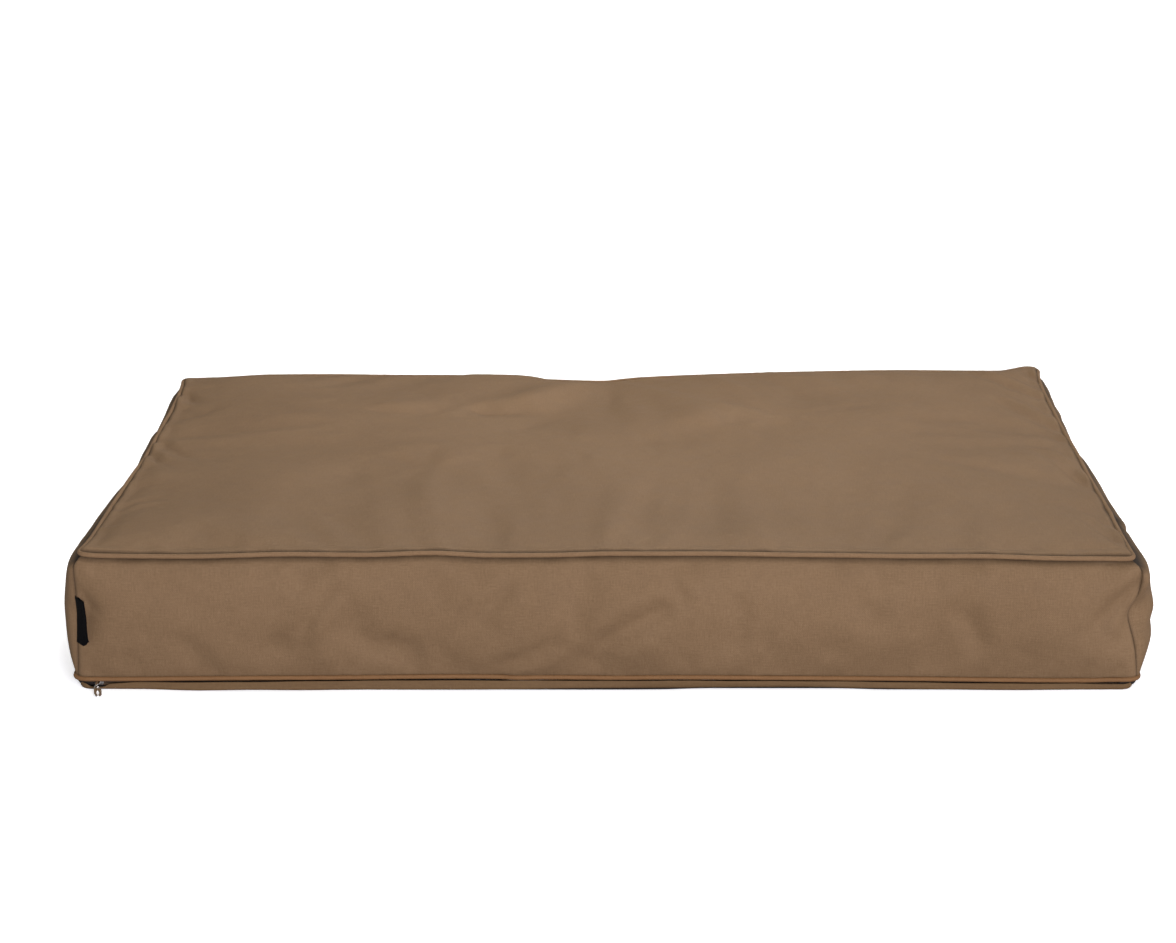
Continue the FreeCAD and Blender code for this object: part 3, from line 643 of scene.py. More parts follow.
class Mat:
    """A short hand for node materials."""

    def __init__(self, name):
        self.m = bpy.data.materials.new(name)
        self.m.use_nodes = True
        self.t = self.m.node_tree
        self.bsdf = self.t.nodes["Principled BSDF"]

    def n(self, kind, **kw):
        node = self.t.nodes.new(kind)
        for k, v in kw.items():
            setattr(node, k, v)
        return node

    def put(self, socket, value):
        if hasattr(value, "links"):
            self.t.links.new(value, socket)
        else:
            socket.default_value = value

    def math(self, op, a, b=0.0, clamp=False):
        n = self.n("ShaderNodeMath", operation=op, use_clamp=clamp)
        self.put(n.inputs[0], a)
        self.put(n.inputs[1], b)
        return n.outputs[0]

    def coords(self, kind="UV", scale=(1, 1, 1), rot=(0, 0, 0)):
        tc = self.n("ShaderNodeTexCoord")
        mp = self.n("ShaderNodeMapping")
        mp.inputs["Scale"].default_value = scale
        mp.inputs["Rotation"].default_value = rot
        self.t.links.new(tc.outputs[kind], mp.inputs["Vector"])
        return mp.outputs[0]

    def noise(self, vec, scale, detail=3.0, rough=0.5, distortion=0.0):
        n = self.n("ShaderNodeTexNoise")
        self.put(n.inputs["Vector"], vec)
        n.inputs["Scale"].default_value = scale
        n.inputs["Detail"].default_value = detail
        n.inputs["Roughness"].default_value = rough
        n.inputs["Distortion"].default_value = distortion
        return n.outputs["Fac"]

    def ramp(self, fac, stops):
        n = self.n("ShaderNodeValToRGB")
        self.put(n.inputs[0], fac)
        el = n.color_ramp.elements
        while len(el) < len(stops):
            el.new(0.5)
        for e, (p, c) in zip(el, stops):
            e.position = p
            e.color = c
        return n.outputs["Color"]

    def mix(self, fac, a, b, kind="MIX"):
        n = self.n("ShaderNodeMix", data_type="RGBA", blend_type=kind)
        self.put(n.inputs[0], fac)
        self.put(n.inputs[6], a)
        self.put(n.inputs[7], b)
        return n.outputs[2]

    def remap(self, v, a, b, c, d):
        n = self.n("ShaderNodeMapRange")
        self.put(n.inputs[0], v)
        for i, x in zip(range(1, 5), (a, b, c, d)):
            n.inputs[i].default_value = x
        return n.outputs[0]

    def bump(self, height, strength, distance, normal=None):
        n = self.n("ShaderNodeBump")
        self.put(n.inputs["Height"], height)
        n.inputs["Strength"].default_value = strength
        n.inputs["Distance"].default_value = distance
        if normal is not None:
            self.t.links.new(normal, n.inputs["Normal"])
        return n.outputs[0]


def weave(m, pitch, rot=0.0):
    """Height and thread mask of a plain weave, from UVs in metres."""
    uv = m.coords("UV", rot=(0, 0, rot))
    sep = m.n("ShaderNodeSeparateXYZ")
    m.t.links.new(uv, sep.inputs[0])
    k = math.pi / pitch
    sx = m.math("SINE", m.math("MULTIPLY", sep.outputs[0], k))
    sy = m.math("SINE", m.math("MULTIPLY", sep.outputs[1], k))
    cross = m.math("MULTIPLY", sx, sy)
    ribs = m.math("MULTIPLY", m.math("ABSOLUTE", sx), m.math("ABSOLUTE", sy))
    return uv, cross, ribs


def canvas(name, dark, mid, light, pitch=0.0011, rot=0.0, sheen=0.02, gloss=0.13, rough=(0.66, 0.84)):
    """Coated plain-weave canvas with slubs and soft mottling, plus painted shade that darkens it where it is drawn into
    a seam.
    """
    m = Mat(name)
    uv, cross, ribs = weave(m, pitch, rot)
    broad = m.noise(uv, 5.5, 4.0, 0.55)
    mid_n = m.noise(uv, 38.0, 5.0, 0.6)
    fine = m.noise(uv, 420.0, 2.0, 0.6)
    slub_x = m.noise(m.coords("UV", scale=(60, 1300, 1), rot=(0, 0, rot)), 1.0, 2.0, 0.5)
    slub_y = m.noise(m.coords("UV", scale=(1300, 60, 1), rot=(0, 0, rot)), 1.0, 2.0, 0.5)
    slub = m.math("ADD", m.math("MULTIPLY", slub_x, 0.5), m.math("MULTIPLY", slub_y, 0.5))
    tone = m.math("ADD", m.math("MULTIPLY", broad, 0.16), m.math("ADD", m.math("MULTIPLY", mid_n, 0.14), m.math("ADD", m.math("MULTIPLY", slub, 0.46), m.math("MULTIPLY", fine, 0.24))))
    tone = m.math("ADD", tone, m.math("MULTIPLY", cross, 0.035))
    col = m.ramp(tone, [(0.30, dark), (0.50, mid), (0.72, light)])
    gap = m.remap(ribs, 0.0, 0.35, 0.80, 1.0)
    grey = m.n("ShaderNodeCombineColor")
    for i in range(3):
        m.put(grey.inputs[i], gap)
    col = m.mix(1.0, col, grey.outputs[0], "MULTIPLY")
    # painted shade: the cloth is darkened where it is drawn into a seam, standing in for the shadow that gathers in the
    # groove
    painted_seam_shade = m.n("ShaderNodeAttribute", attribute_name="crease", attribute_type="GEOMETRY").outputs["Fac"]
    col = m.mix(painted_seam_shade, col, tuple(c * 0.10 for c in dark[:3]) + (1.0,))
    m.put(m.bsdf.inputs["Base Color"], col)
    m.put(m.bsdf.inputs["Roughness"], m.remap(m.math("ADD", m.math("MULTIPLY", mid_n, 0.6), m.math("MULTIPLY", fine, 0.4)), 0.3, 0.7, *rough))
    m.bsdf.inputs["Specular IOR Level"].default_value = gloss
    m.bsdf.inputs["Sheen Weight"].default_value = sheen
    m.bsdf.inputs["Sheen Roughness"].default_value = 0.55
    m.bsdf.inputs["Sheen Tint"].default_value = light
    wrinkles = m.noise(m.coords("UV", rot=(0, 0, 0.5 + rot)), 52.0, 4.0, 0.52, 0.6)
    n1 = m.bump(wrinkles, 0.32, 0.0022)
    threads = m.math("ADD", m.math("MULTIPLY", cross, 0.5), m.math("ADD", m.math("MULTIPLY", ribs, 0.6), m.math("MULTIPLY", slub, 0.8)))
    n2 = m.bump(threads, 0.55, 0.00022, n1)
    m.t.links.new(n2, m.bsdf.inputs["Normal"])
    return m.m


M_COVER = canvas("cover_canvas", srgb(94, 73, 50), srgb(110, 87, 62), srgb(126, 102, 76))
M_PIPE = canvas("piping_canvas", srgb(98, 75, 52), srgb(115, 90, 64), srgb(132, 106, 78), rot=0.785, sheen=0.03)
# painted light: the bottom piping is the same cloth as the top piping; this warmer, more orange copy stands in for warm
# light bounced up from the floor
M_PIPE_BOUNCE_LIT = canvas("piping_canvas_painted_bounce", srgb(96, 68, 42), srgb(113, 82, 52), srgb(130, 97, 65), rot=0.785, sheen=0.04)
# painted shade and painted bounce light: the lower facing is a strip of the cover cloth; this darker copy stands in for
# the shade it sits in under the piping, and its warmer tint for warm light bounced from the floor
M_LIP_SHADED = canvas("zip_lip_canvas_painted_shade", srgb(80, 60, 38), srgb(95, 73, 48), srgb(110, 87, 60), sheen=0.03)
M_BASE = canvas("base_cloth", srgb(22, 19, 17), srgb(36, 31, 28), srgb(52, 46, 41), pitch=0.0018, sheen=0.10, rough=(0.70, 0.90))
M_LINER = canvas("liner_ticking", srgb(206, 200, 188), srgb(222, 217, 206), srgb(234, 230, 221), pitch=0.0007, rough=(0.70, 0.90))
M_TAPE = canvas("zip_tape", srgb(62, 47, 33), srgb(80, 62, 44), srgb(97, 78, 58), pitch=0.0008, rot=0.5)
M_LABEL = canvas("label_cloth", srgb(3, 3, 3), srgb(6, 6, 7), srgb(12, 12, 13), pitch=0.0005, sheen=0.0, gloss=0.05)
M_CARE = canvas("care_label_cloth", srgb(214, 213, 208), srgb(230, 229, 225), srgb(240, 240, 237), pitch=0.0004)


def metal(name, tint, rough):
    m = Mat(name)
    v = m.coords("Object")
    n = m.noise(v, 900.0, 3.0, 0.6)
    w = m.noise(v, 160.0, 3.0, 0.5)
    m.put(m.bsdf.inputs["Base Color"], m.ramp(w, [(0.3, tuple(c * 0.82 for c in tint[:3]) + (1,)), (0.7, tint)]))
    m.bsdf.inputs["Metallic"].default_value = 1.0
    m.put(m.bsdf.inputs["Roughness"], m.remap(n, 0.3, 0.7, rough * 0.8, rough * 1.5))
    m.t.links.new(m.bump(n, 0.10, 0.00004), m.bsdf.inputs["Normal"])
    return m.m


M_METAL = metal("nickel", srgb(236, 234, 229), 0.20)


def nylon(name):
    m = Mat(name)
    v = m.coords("Object")
    n = m.noise(v, 700.0, 2.0, 0.5)
    m.put(m.bsdf.inputs["Base Color"], m.ramp(n, [(0.3, srgb(44, 35, 28)), (0.7, srgb(70, 57, 46))]))
    m.put(m.bsdf.inputs["Roughness"], m.remap(n, 0.3, 0.7, 0.30, 0.42))
    m.t.links.new(m.bump(n, 0.2, 0.00005), m.bsdf.inputs["Normal"])
    return m.m


M_NYLON = nylon("zip_nylon")


def fibre(name):
    m = Mat(name)
    v = m.coords("Object")
    a = m.noise(v, 45.0, 8.0, 0.7, 1.5)
    b = m.noise(v, 300.0, 4.0, 0.7, 2.0)
    t = m.math("ADD", m.math("MULTIPLY", a, 0.6), m.math("MULTIPLY", b, 0.4))
    m.put(m.bsdf.inputs["Base Color"], m.ramp(t, [(0.3, srgb(205, 204, 199)), (0.7, srgb(244, 243, 240))]))
    m.put(m.bsdf.inputs["Roughness"], m.remap(b, 0.3, 0.7, 0.85, 1.0))
    m.t.links.new(m.bump(t, 0.8, 0.003), m.bsdf.inputs["Normal"])
    return m.m


M_FIBRE = fibre("loose_fibre")


def twist(name):
    m = Mat(name)
    v = m.coords("Object")
    n = m.noise(v, 500.0, 3.0, 0.6)
    m.put(m.bsdf.inputs["Base Color"], m.ramp(n, [(0.3, srgb(200, 194, 180)), (0.7, srgb(228, 223, 211))]))
    m.put(m.bsdf.inputs["Roughness"], m.remap(n, 0.3, 0.7, 0.8, 0.95))
    m.t.links.new(m.bump(n, 0.5, 0.0003), m.bsdf.inputs["Normal"])
    return m.m


M_CORD = twist("cotton_cord")


# ------------------------------------------------------------------ making pieces
def apply_all(o):
    dg = bpy.context.evaluated_depsgraph_get()
    me = bpy.data.meshes.new_from_object(o.evaluated_get(dg), preserve_all_data_layers=True, depsgraph=dg)
    old = o.data
    o.modifiers.clear()
    o.data = me
    if old.users == 0:
        bpy.data.meshes.remove(old)


def shade(o):
    o.data.polygons.foreach_set("use_smooth", [True] * len(o.data.polygons))
    o.data.update()


def finish_piece(o, mat, node, body):
    o.data.materials.clear()
    o.data.materials.append(mat)
    shade(o)
    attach(o, body)
    if node:
        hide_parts(*([node] if isinstance(node, str) else node))
    return o


def grid_piece(name, p, uv, flip=False, subdiv=1, thick=0.0012, offset=-1.0, painted_seam_shade=None):
    """A sheet from a grid of points, with UVs in metres, one subdivision and a real thickness."""
    rows, cols = p.shape[:2]
    ids = np.arange(rows * cols).reshape(rows, cols)
    f = quads(ids, flip)
    o = mesh_object(name, p.reshape(-1, 3), f)
    layer = o.data.uv_layers.new(name="cloth")
    flat = uv.reshape(-1, 2)
    loops = np.empty(len(o.data.loops), dtype=np.int32)
    o.data.loops.foreach_get("vertex_index", loops)
    layer.data.foreach_set("uv", flat[loops].ravel())
    # painted shade: the crease attribute says how far the cloth is darkened near its seams
    if painted_seam_shade is not None:
        a = o.data.attributes.new("crease", "FLOAT", "POINT")
        a.data.foreach_set("value", np.ascontiguousarray(painted_seam_shade, dtype=np.float32).ravel())
    if subdiv:
        s = o.modifiers.new("sub", "SUBSURF")
        s.levels = s.render_levels = subdiv
        s.boundary_smooth = "PRESERVE_CORNERS"
    if thick:
        t = o.modifiers.new("thick", "SOLIDIFY")
        t.thickness = thick
        t.offset = offset
        t.use_even_offset = True
    apply_all(o)
    return o


sub = 1
top = grid_piece("cover_top", NOW[IDS["top"]], np.stack([top_u, top_v], 2), subdiv=sub, painted_seam_shade=painted_shade_here["top"])
finish_piece(top, M_COVER, "top_panel", "cushion")

cover = {}
for w in SIDES:
    g = IDS[w]
    p = NOW[g]
    long = 1.205 if w in ("front", "back") else 0.805
    uvs = np.stack([np.broadcast_to((U if w in ("front", "back") else W)[None] * long, g.shape) + ord(w[0]), np.broadcast_to(T[:, None] * 0.16, g.shape)], 2)
    o = grid_piece("cover_%s_band" % w, p, uvs, flip=True, subdiv=sub, painted_seam_shade=painted_shade_here[w])
    finish_piece(o, M_COVER, "%s_band" % w, "cushion")
    cover[w] = o


# ------------------------------------------------------------------ base panel
def base_piece():
    """Flat on the floor, rolled up at its edges to the bottom seam; open along the zip."""
    p = base_grid()
    x, y = p[..., 0].copy(), p[..., 1].copy()
    du = np.minimum(U, 1 - U)[:, None] * 2 * SX + 0 * W[None]
    dw = np.minimum(W, 1 - W)[None] * 2 * SY + 0 * U[:, None]
    r = .0115
    rise = lambda d: 1 - np.sqrt(np.clip(1 - (1 - np.clip(d / r, 0, 1)) ** 2, 0, 1))
    back = W[None] > 0.5
    side = rise(du)
    far = rise(np.where(back, dw, 1.0))
    near = rise(np.where(~back, dw, 1.0)) * smooth(np.abs(x), SX - .016, SX - .008)
    k = 1 - (1 - side) * (1 - far) * (1 - near)
    low = 0.0012
    p[..., 2] = low + (p[..., 2] - low) * k
    # its dark front edge shows a little past the lip here and there; the base cloth is real, but these dark slivers
    # stand in for the contact shadow under the lip, a painted shadow
    painted_shadow_peek = curve(x, [-.60, -.54, -.49, -.41, -.37, -.28, -.22, -.02, .06, .12, .26, .32, .50, .55, .60], [0, 0, .0048, .0050, .0006, .0006, .0044, .0048, .0040, 0, 0, .0036, .0040, 0, 0])
    p[..., 1] -= painted_shadow_peek * (1 - smooth(W[None] * 2 * SY, .004, .040))
    return p, x, y


pb, bx, by = base_piece()
o = grid_piece("cover_base", pb, np.stack([bx, by], 2), flip=True, subdiv=1, thick=0.0012, offset=-1.0)
c = coords(o)
c[:, 2] = np.maximum(c[:, 2], 0.0)
o.data.vertices.foreach_set("co", c.ravel())
o.data.update()
finish_piece(o, M_BASE, "base_panel", "cushion")


# ------------------------------------------------------------------ tubes
def tube(name, path, radius, mat, closed=True, sides=14, twist_count=0, uv_scale=1.0, wobble=None):
    """A round tube round a path of points, with UVs in metres."""
    path = np.asarray(path, float)
    n = len(path)
    nxt = np.roll(path, -1, 0) if closed else np.vstack([path[1:], 2 * path[-1] - path[-2]])
    prv = np.roll(path, 1, 0) if closed else np.vstack([2 * path[0] - path[1], path[:-1]])
    tan = nxt - prv
    tan /= np.linalg.norm(tan, axis=1)[:, None]
    up = np.tile([0.0, 0.0, 1.0], (n, 1))
    out = np.cross(tan, up)
    out /= np.linalg.norm(out, axis=1)[:, None]
    up = np.cross(out, tan)
    a = np.linspace(0, 2 * math.pi, sides, endpoint=False)
    rad = np.full(n, radius) if np.isscalar(radius) else np.asarray(radius)
    ring_ = (out[:, None] * np.cos(a)[None, :, None] + up[:, None] * np.sin(a)[None, :, None])
    r2 = rad[:, None] * (1 + (wobble if wobble is not None else 0))
    v = path[:, None] + ring_ * (r2[..., None] if np.ndim(r2) == 2 else r2[:, None])
    length = np.concatenate([[0], np.cumsum(np.linalg.norm(np.diff(path, axis=0), axis=1))])
    faces, uvs = [], []
    last = n if closed else n - 1
    total = length[-1] + (np.linalg.norm(path[0] - path[-1]) if closed else 0)
    for i in range(last):
        j = (i + 1) % n
        l0, l1 = length[i], (total if j == 0 else length[j])
        for k in range(sides):
            q = (k + 1) % sides
            faces.append((i * sides + k, j * sides + k, j * sides + q, i * sides + q))
            c0, c1 = k / sides * 2 * math.pi * radius_of(rad, i), (k + 1) / sides * 2 * math.pi * radius_of(rad, i)
            uvs += [(l0, c0), (l1, c0), (l1, c1), (l0, c1)]
    verts = v.reshape(-1, 3)
    if not closed:
        base_i = len(verts)
        verts = np.vstack([verts, path[0], path[-1]])
        for k in range(sides):
            q = (k + 1) % sides
            faces.append((base_i, k, q))
            uvs += [(0, 0)] * 3
            faces.append((base_i + 1, (n - 1) * sides + q, (n - 1) * sides + k))
            uvs += [(0, 0)] * 3
    o = mesh_object(name, verts, faces)
    bm = bmesh.new()
    bm.from_mesh(o.data)
    bm.normal_update()
    vol = bm.calc_volume(signed=True)
    bm.free()
    layer = o.data.uv_layers.new(name="cloth")
    layer.data.foreach_set("uv", np.asarray(uvs, float).ravel() * uv_scale)
    if vol < 0:
        o.data.flip_normals()
    return o


def radius_of(rad, i):
    return float(rad[i]) if np.ndim(rad) else float(rad)


def ring_path(rows, out, up):
    """The closed seam, moved outward and up."""
    pts = []
    for w in SIDES:
        p = NOW[IDS[w][rows]]
        n = (TOP if rows == -1 else BOT)[w][1]
        q = p + np.concatenate([n * out, np.full((len(n), 1), up)], 1)
        pts.append(q[:-1])
    return np.vstack(pts)


def resample(path, spacing, closed=True):
    p = np.vstack([path, path[:1]]) if closed else path
    d = np.concatenate([[0], np.cumsum(np.linalg.norm(np.diff(p, axis=0), axis=1))])
    n = max(8, int(round(d[-1] / spacing)))
    t = np.linspace(0, d[-1], n, endpoint=not closed)
    return np.stack([np.interp(t, d, p[:, k]) for k in range(3)], 1), t


def relax(path, times):
    for _ in range(times):
        path = (np.roll(path, 1, 0) + 2 * path + np.roll(path, -1, 0)) / 4
    return path


top_path, tt_ = resample(ring_path(-1, PIPE_OUT, 0.0), 0.0035)
top_path = relax(top_path, 3)
bot_path, tb_ = resample(ring_path(0, PIPE_OUT, 0.0), 0.0035)
bot_path = relax(bot_path, 4)


def gathered(n, sides, t, seed):
    """Tiny gathers of the bias cloth round the cord."""
    r = np.random.default_rng(seed)
    a = np.linspace(0, 2 * math.pi, sides, endpoint=False)[None]
    out = np.zeros((n, sides))
    for k in range(6):
        f = 2 * math.pi / r.uniform(.011, .035)
        out += np.sin(t[:, None] * f + a * r.integers(-2, 3) + r.uniform(0, 6.28)) * r.uniform(.3, 1)
    return out * .012


SIDES_N = 16
piping_top = tube("piping_top", top_path, PIPE_R, M_PIPE, sides=SIDES_N, wobble=gathered(len(top_path), SIDES_N, tt_, 5))
finish_piece(piping_top, M_PIPE, "top_piping_cover", "cushion")
piping_bot = tube("piping_bottom", bot_path, PIPE_R, M_PIPE_BOUNCE_LIT, sides=SIDES_N, wobble=gathered(len(bot_path), SIDES_N, tb_, 6))
finish_piece(piping_bot, M_PIPE_BOUNCE_LIT, "bottom_piping_cover", "cushion")
for name, path, node in (("piping_core_top", top_path, "top_piping_cord"), ("piping_core_bottom", bot_path, "bottom_piping_cord")):
    o = tube(name, path[::2], 0.0019, M_CORD, sides=8)
    finish_piece(o, M_CORD, node, "cushion")


# ------------------------------------------------------------------ lower facing of the zip
def facing():
    f_lo, f_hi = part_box("zip_lower_facing")
    # along the front, then a little way round each corner; xs runs along the lip
    rho, straight, tail = .014, f_hi.x - .0035, .014
    arc = rho * math.pi / 2
    xs = np.concatenate([np.linspace(-straight - arc - tail, -straight, 16)[:-1], np.linspace(-straight, straight, 372), np.linspace(straight, straight + arc + tail, 16)[1:]])
    t = 0.0012
    y_out, y_in, top_z = f_lo.y, f_hi.y, f_hi.z
    r = 0.004
    prof = []
    prof.append((y_in, 0.0))
    prof.append((y_out + r + .006, 0.0))
    for a in np.linspace(0, math.pi / 2, 7):
        prof.append((y_out + r - r * math.sin(a), r - r * math.cos(a)))
    prof.append((y_out, top_z - .0012))
    prof.append((y_out + .0002, top_z - .0004))
    prof.append((y_out + .0006, top_z))
    prof.append((y_out + .0012, top_z - .0003))
    prof.append((y_out + t + .0002, top_z - .0012))
    prof.append((y_out + t, r))
    for a in np.linspace(math.pi / 2, 0, 5):
        prof.append((y_out + r - (r - t) * math.sin(a), r - (r - t) * math.cos(a)))
    prof.append((y_in, t))
    prof = np.array(prof)
    g = np.zeros((len(xs), len(prof), 3))
    g[..., 1] = prof[None, :, 0]
    g[..., 2] = prof[None, :, 1]
    # its top edge lies up against the piping, except where the slider opens it
    front = bot_path[bot_path[:, 1] < -SY]
    order = np.argsort(front[:, 0])
    under = np.interp(xs, front[order, 0], front[order, 2]) - PIPE_R
    away = smooth(np.abs(xs + .578), .014, .045) * smooth(np.abs(xs - .577), .010, .045)
    edge_z = top_z + away * np.clip(under - .0007 - top_z, 0, .0060)
    edge_z = edge_z - .0042 * np.exp(-((xs + .578) / .0115) ** 4)
    k = (edge_z / top_z)[:, None]
    g[..., 2] = np.where(g[..., 2] > .0012, .0012 + (g[..., 2] - .0012) * (k * top_z - .0012) / (top_z - .0012), g[..., 2])
    ends = (smooth(xs, f_lo.x, f_lo.x + .03) * (1 - smooth(xs, f_hi.x - .03, f_hi.x)))[:, None]
    high = smooth(prof[:, 1], 0.0015, 0.007)[None]
    g[..., 1] += high * ends * away[:, None] * (.0006 * np.sin(xs * 23 + 2) + .0004 * np.sin(xs * 71 + 1))[:, None]
    # here and there the foot of the lip stands clear of the floor
    foot = curve(xs, [-.60, -.46, -.40, -.34, -.25, -.16, -.04, .06, .14, .22, .30, .40, .52, .60], [0, .0002, .0008, .0002, .0004, .0010, .0012, .0016, .0026, .0030, .0016, .0008, .0003, 0])
    g[..., 2] += (foot[:, None] * ends) * smooth(-prof[:, 0], .388, .396)[None] * (1 - high)
    spread = curve(xs, [-.60, -.53, -.46, -.36, -.27, -.16, -.02, .10, .24, .36, .46, .54, .60], [0, .0010, .0058, .0050, .0030, .0046, .0012, 0, 0, .0022, .0036, .0010, 0])
    g[..., 1] -= (spread[:, None] * ends) * smooth(-prof[:, 0], .386, .397)[None] * (1 - .65 * high)
    # bend the strip round the corners
    past = np.abs(xs) - straight
    th = np.clip(past, 0, arc) / rho
    inward = g[..., 1] - y_out
    inward = np.where((past > 0)[:, None], np.minimum(inward, rho * .92), inward)
    rest_ = np.clip(past - arc, 0, None)
    px_ = np.minimum(np.abs(xs), straight) + rho * np.sin(th)
    py_ = y_out + rho * (1 - np.cos(th)) + rest_
    g[..., 0] = np.sign(xs)[:, None] * (px_[:, None] - np.sin(th)[:, None] * inward)
    g[..., 1] = py_[:, None] + np.cos(th)[:, None] * inward
    return g, xs, prof


g, xs, prof = facing()
n_prof = g.shape[1]
ids = np.arange(g.shape[0] * n_prof).reshape(g.shape[:2])
wrap = np.concatenate([ids, ids[:, :1]], 1)
faces = [tuple(q) for q in quads(wrap)]
faces += [tuple(ids[0]), tuple(ids[-1][::-1])]
o = mesh_object("zip_facing", g.reshape(-1, 3), faces)
bm = bmesh.new()
bm.from_mesh(o.data)
bmesh.ops.recalc_face_normals(bm, faces=bm.faces)
bm.to_mesh(o.data)
bm.free()
layer = o.data.uv_layers.new(name="cloth")
pl = np.concatenate([[0], np.cumsum(np.linalg.norm(np.diff(prof, axis=0), axis=1))])
loops = np.empty(len(o.data.loops), dtype=np.int32)
o.data.loops.foreach_get("vertex_index", loops)
layer.data.foreach_set("uv", np.stack([xs[loops // n_prof], pl[loops % n_prof]], 1).ravel())
finish_piece(o, M_LIP_SHADED, "zip_lower_facing", "cushion")


# ------------------------------------------------------------------ zip
def teeth(name, node):
    """A row of nylon coil: one long spring-like loop."""
    lo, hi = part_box(node)
    cy_, cz = (lo.y + hi.y) / 2, (lo.z + hi.z) / 2
    ry, rz = (hi.y - lo.y) / 2 - .0004, (hi.z - lo.z) / 2 - .0003
    pitch = 0.0016
    turns = int((hi.x - lo.x - .001) / pitch)
    per = 10
    a = np.arange(turns * per + 1) * 2 * math.pi / per
    x = lo.x + .0005 + a / (2 * math.pi) * pitch
    path = np.stack([x, cy_ + ry * np.cos(a), cz + rz * np.sin(a)], 1)
    o = tube(name, path, 0.00034, M_NYLON, closed=False, sides=5)
    return finish_piece(o, M_NYLON, node, "cushion")


teeth("coil_upper", "zip_coil_upper")
teeth("coil_lower", "zip_coil_lower")


def dress(node, mat):
    o = NODES[node]
    o.data.materials.clear()
    o.data.materials.append(mat)
    for s in o.material_slots:
        s.material = mat


for n in ("zip_slider", "zip_top_stops", "zip_bottom_stop"):
    dress(n, M_METAL)


def pull_tag():
    """A wire loop through the slider's lug, turned flat along its length, round a thin slotted plate."""
    s_lo, s_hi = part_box("zip_slider")
    pin = np.array([(s_lo.x + s_hi.x) / 2, s_lo.y + .0023, (s_lo.z + s_hi.z) / 2])
    turn_, droop = math.radians(12), math.radians(10)
    d = np.array([math.sin(turn_), -math.cos(turn_) * math.cos(droop), -math.cos(turn_) * math.sin(droop)])
    a = np.array([0, -math.sin(droop), math.cos(droop)])
    b = np.cross(a, d)
    tip = .0236

    def place(t, v):
        """t along the tag from the pin, v across it."""
        t, v = np.asarray(t, float)[..., None], np.asarray(v, float)[..., None]
        w = np.radians(82) * smooth(t, .0028, .0110)
        q = pin + d * t + (np.cos(w) * a - np.sin(w) * b) * v
        q[..., 2:] -= .0026 * (t / tip) ** 2
        return q

    half = lambda t: curve(t, [0, .003, .008, .012, .0195], [.0026, .0026, .0030, .0037, .0037]) * np.sqrt(np.clip(1 - (np.clip(t - (tip - .0040), 0, .0040) / .0040) ** 2, 0, 1))
    t = np.concatenate([np.linspace(0, tip - .0040, 44), tip - .0040 + .0040 * np.sin(np.linspace(.08, 1, 10) * math.pi / 2)])
    out_, back_ = place(t, half(t)), place(t[::-1][1:], -half(t[::-1][1:]))
    stem = place(np.zeros(9), np.linspace(-.0026, .0026, 11)[1:-1])
    path, _ = resample(np.vstack([out_, back_, stem]), .00045)
    path = relax(path, 3)
    n, sides, r = len(path), 10, .00072
    tan = np.roll(path, -1, 0) - np.roll(path, 1, 0)
    tan /= np.linalg.norm(tan, axis=1)[:, None]
    u = np.cross(tan[0], (.3, .5, .8))
    us = [u / np.linalg.norm(u)]
    for i in range(1, n + 1):
        u = us[-1] - tan[i % n] * np.dot(us[-1], tan[i % n])
        us.append(u / np.linalg.norm(u))
    slip = math.atan2(np.dot(us[n], np.cross(tan[0], us[0])), np.dot(us[n], us[0]))
    us = np.array(us[:n])
    vs = np.cross(tan, us)
    ang = np.linspace(0, 2 * math.pi, sides, endpoint=False)[None] - slip * np.arange(n)[:, None] / n
    v = path[:, None] + r * (np.cos(ang)[..., None] * us[:, None] + np.sin(ang)[..., None] * vs[:, None])
    ids = np.arange(n * sides).reshape(n, sides)
    wrap = np.concatenate([ids, ids[:, :1]], 1)
    loop_ = mesh_object("zip_tag", v.reshape(-1, 3), quads(np.concatenate([wrap, wrap[:1]], 0)))
    # the plate, from its outline to the slot
    th = np.linspace(0, 2 * math.pi, 56, endpoint=False)
    pw = lambda c: np.sign(c) * np.abs(c) ** .72
    mid_t = (.0088 + tip) / 2
    outer = np.stack([mid_t + (tip - .0088 - .0002) / 2 * pw(np.cos(th)), .0034 * pw(np.sin(th))], 1)
    slot = np.stack([mid_t + .0018 + .0034 * pw(np.cos(th)), .0014 * pw(np.sin(th))], 1)
    k = np.linspace(0, 1, 7)[:, None, None]
    tv = outer[None] * (1 - k) + slot[None] * k
    top_ = place(tv[..., 0], tv[..., 1])
    nrm = np.cross(np.gradient(top_, axis=0), np.roll(top_, -1, 1) - np.roll(top_, 1, 1))
    nrm /= np.linalg.norm(nrm, axis=2)[..., None]
    layers = np.stack([top_ + nrm * .0004, top_ - nrm * .0004])
    m_ = np.arange(layers[..., 0].size).reshape(2, 7, 56)
    m_ = np.concatenate([m_, m_[:, :, :1]], 2)
    f = [tuple(q) for q in quads(m_[0])] + [tuple(q) for q in quads(m_[1], True)]
    f += [tuple(q) for q in quads(m_[:, 0], True)] + [tuple(q) for q in quads(m_[:, -1])]
    plate_ = mesh_object("zip_tag_plate", layers.reshape(-1, 3), f)
    bm = bmesh.new()
    bm.from_mesh(loop_.data)
    bm.from_mesh(plate_.data)
    bmesh.ops.recalc_face_normals(bm, faces=bm.faces)
    bm.to_mesh(loop_.data)
    bm.free()
    old = plate_.data
    bpy.data.objects.remove(plate_)
    bpy.data.meshes.remove(old)
    finish_piece(loop_, M_METAL, "zip_pull", "pull")


pull_tag()


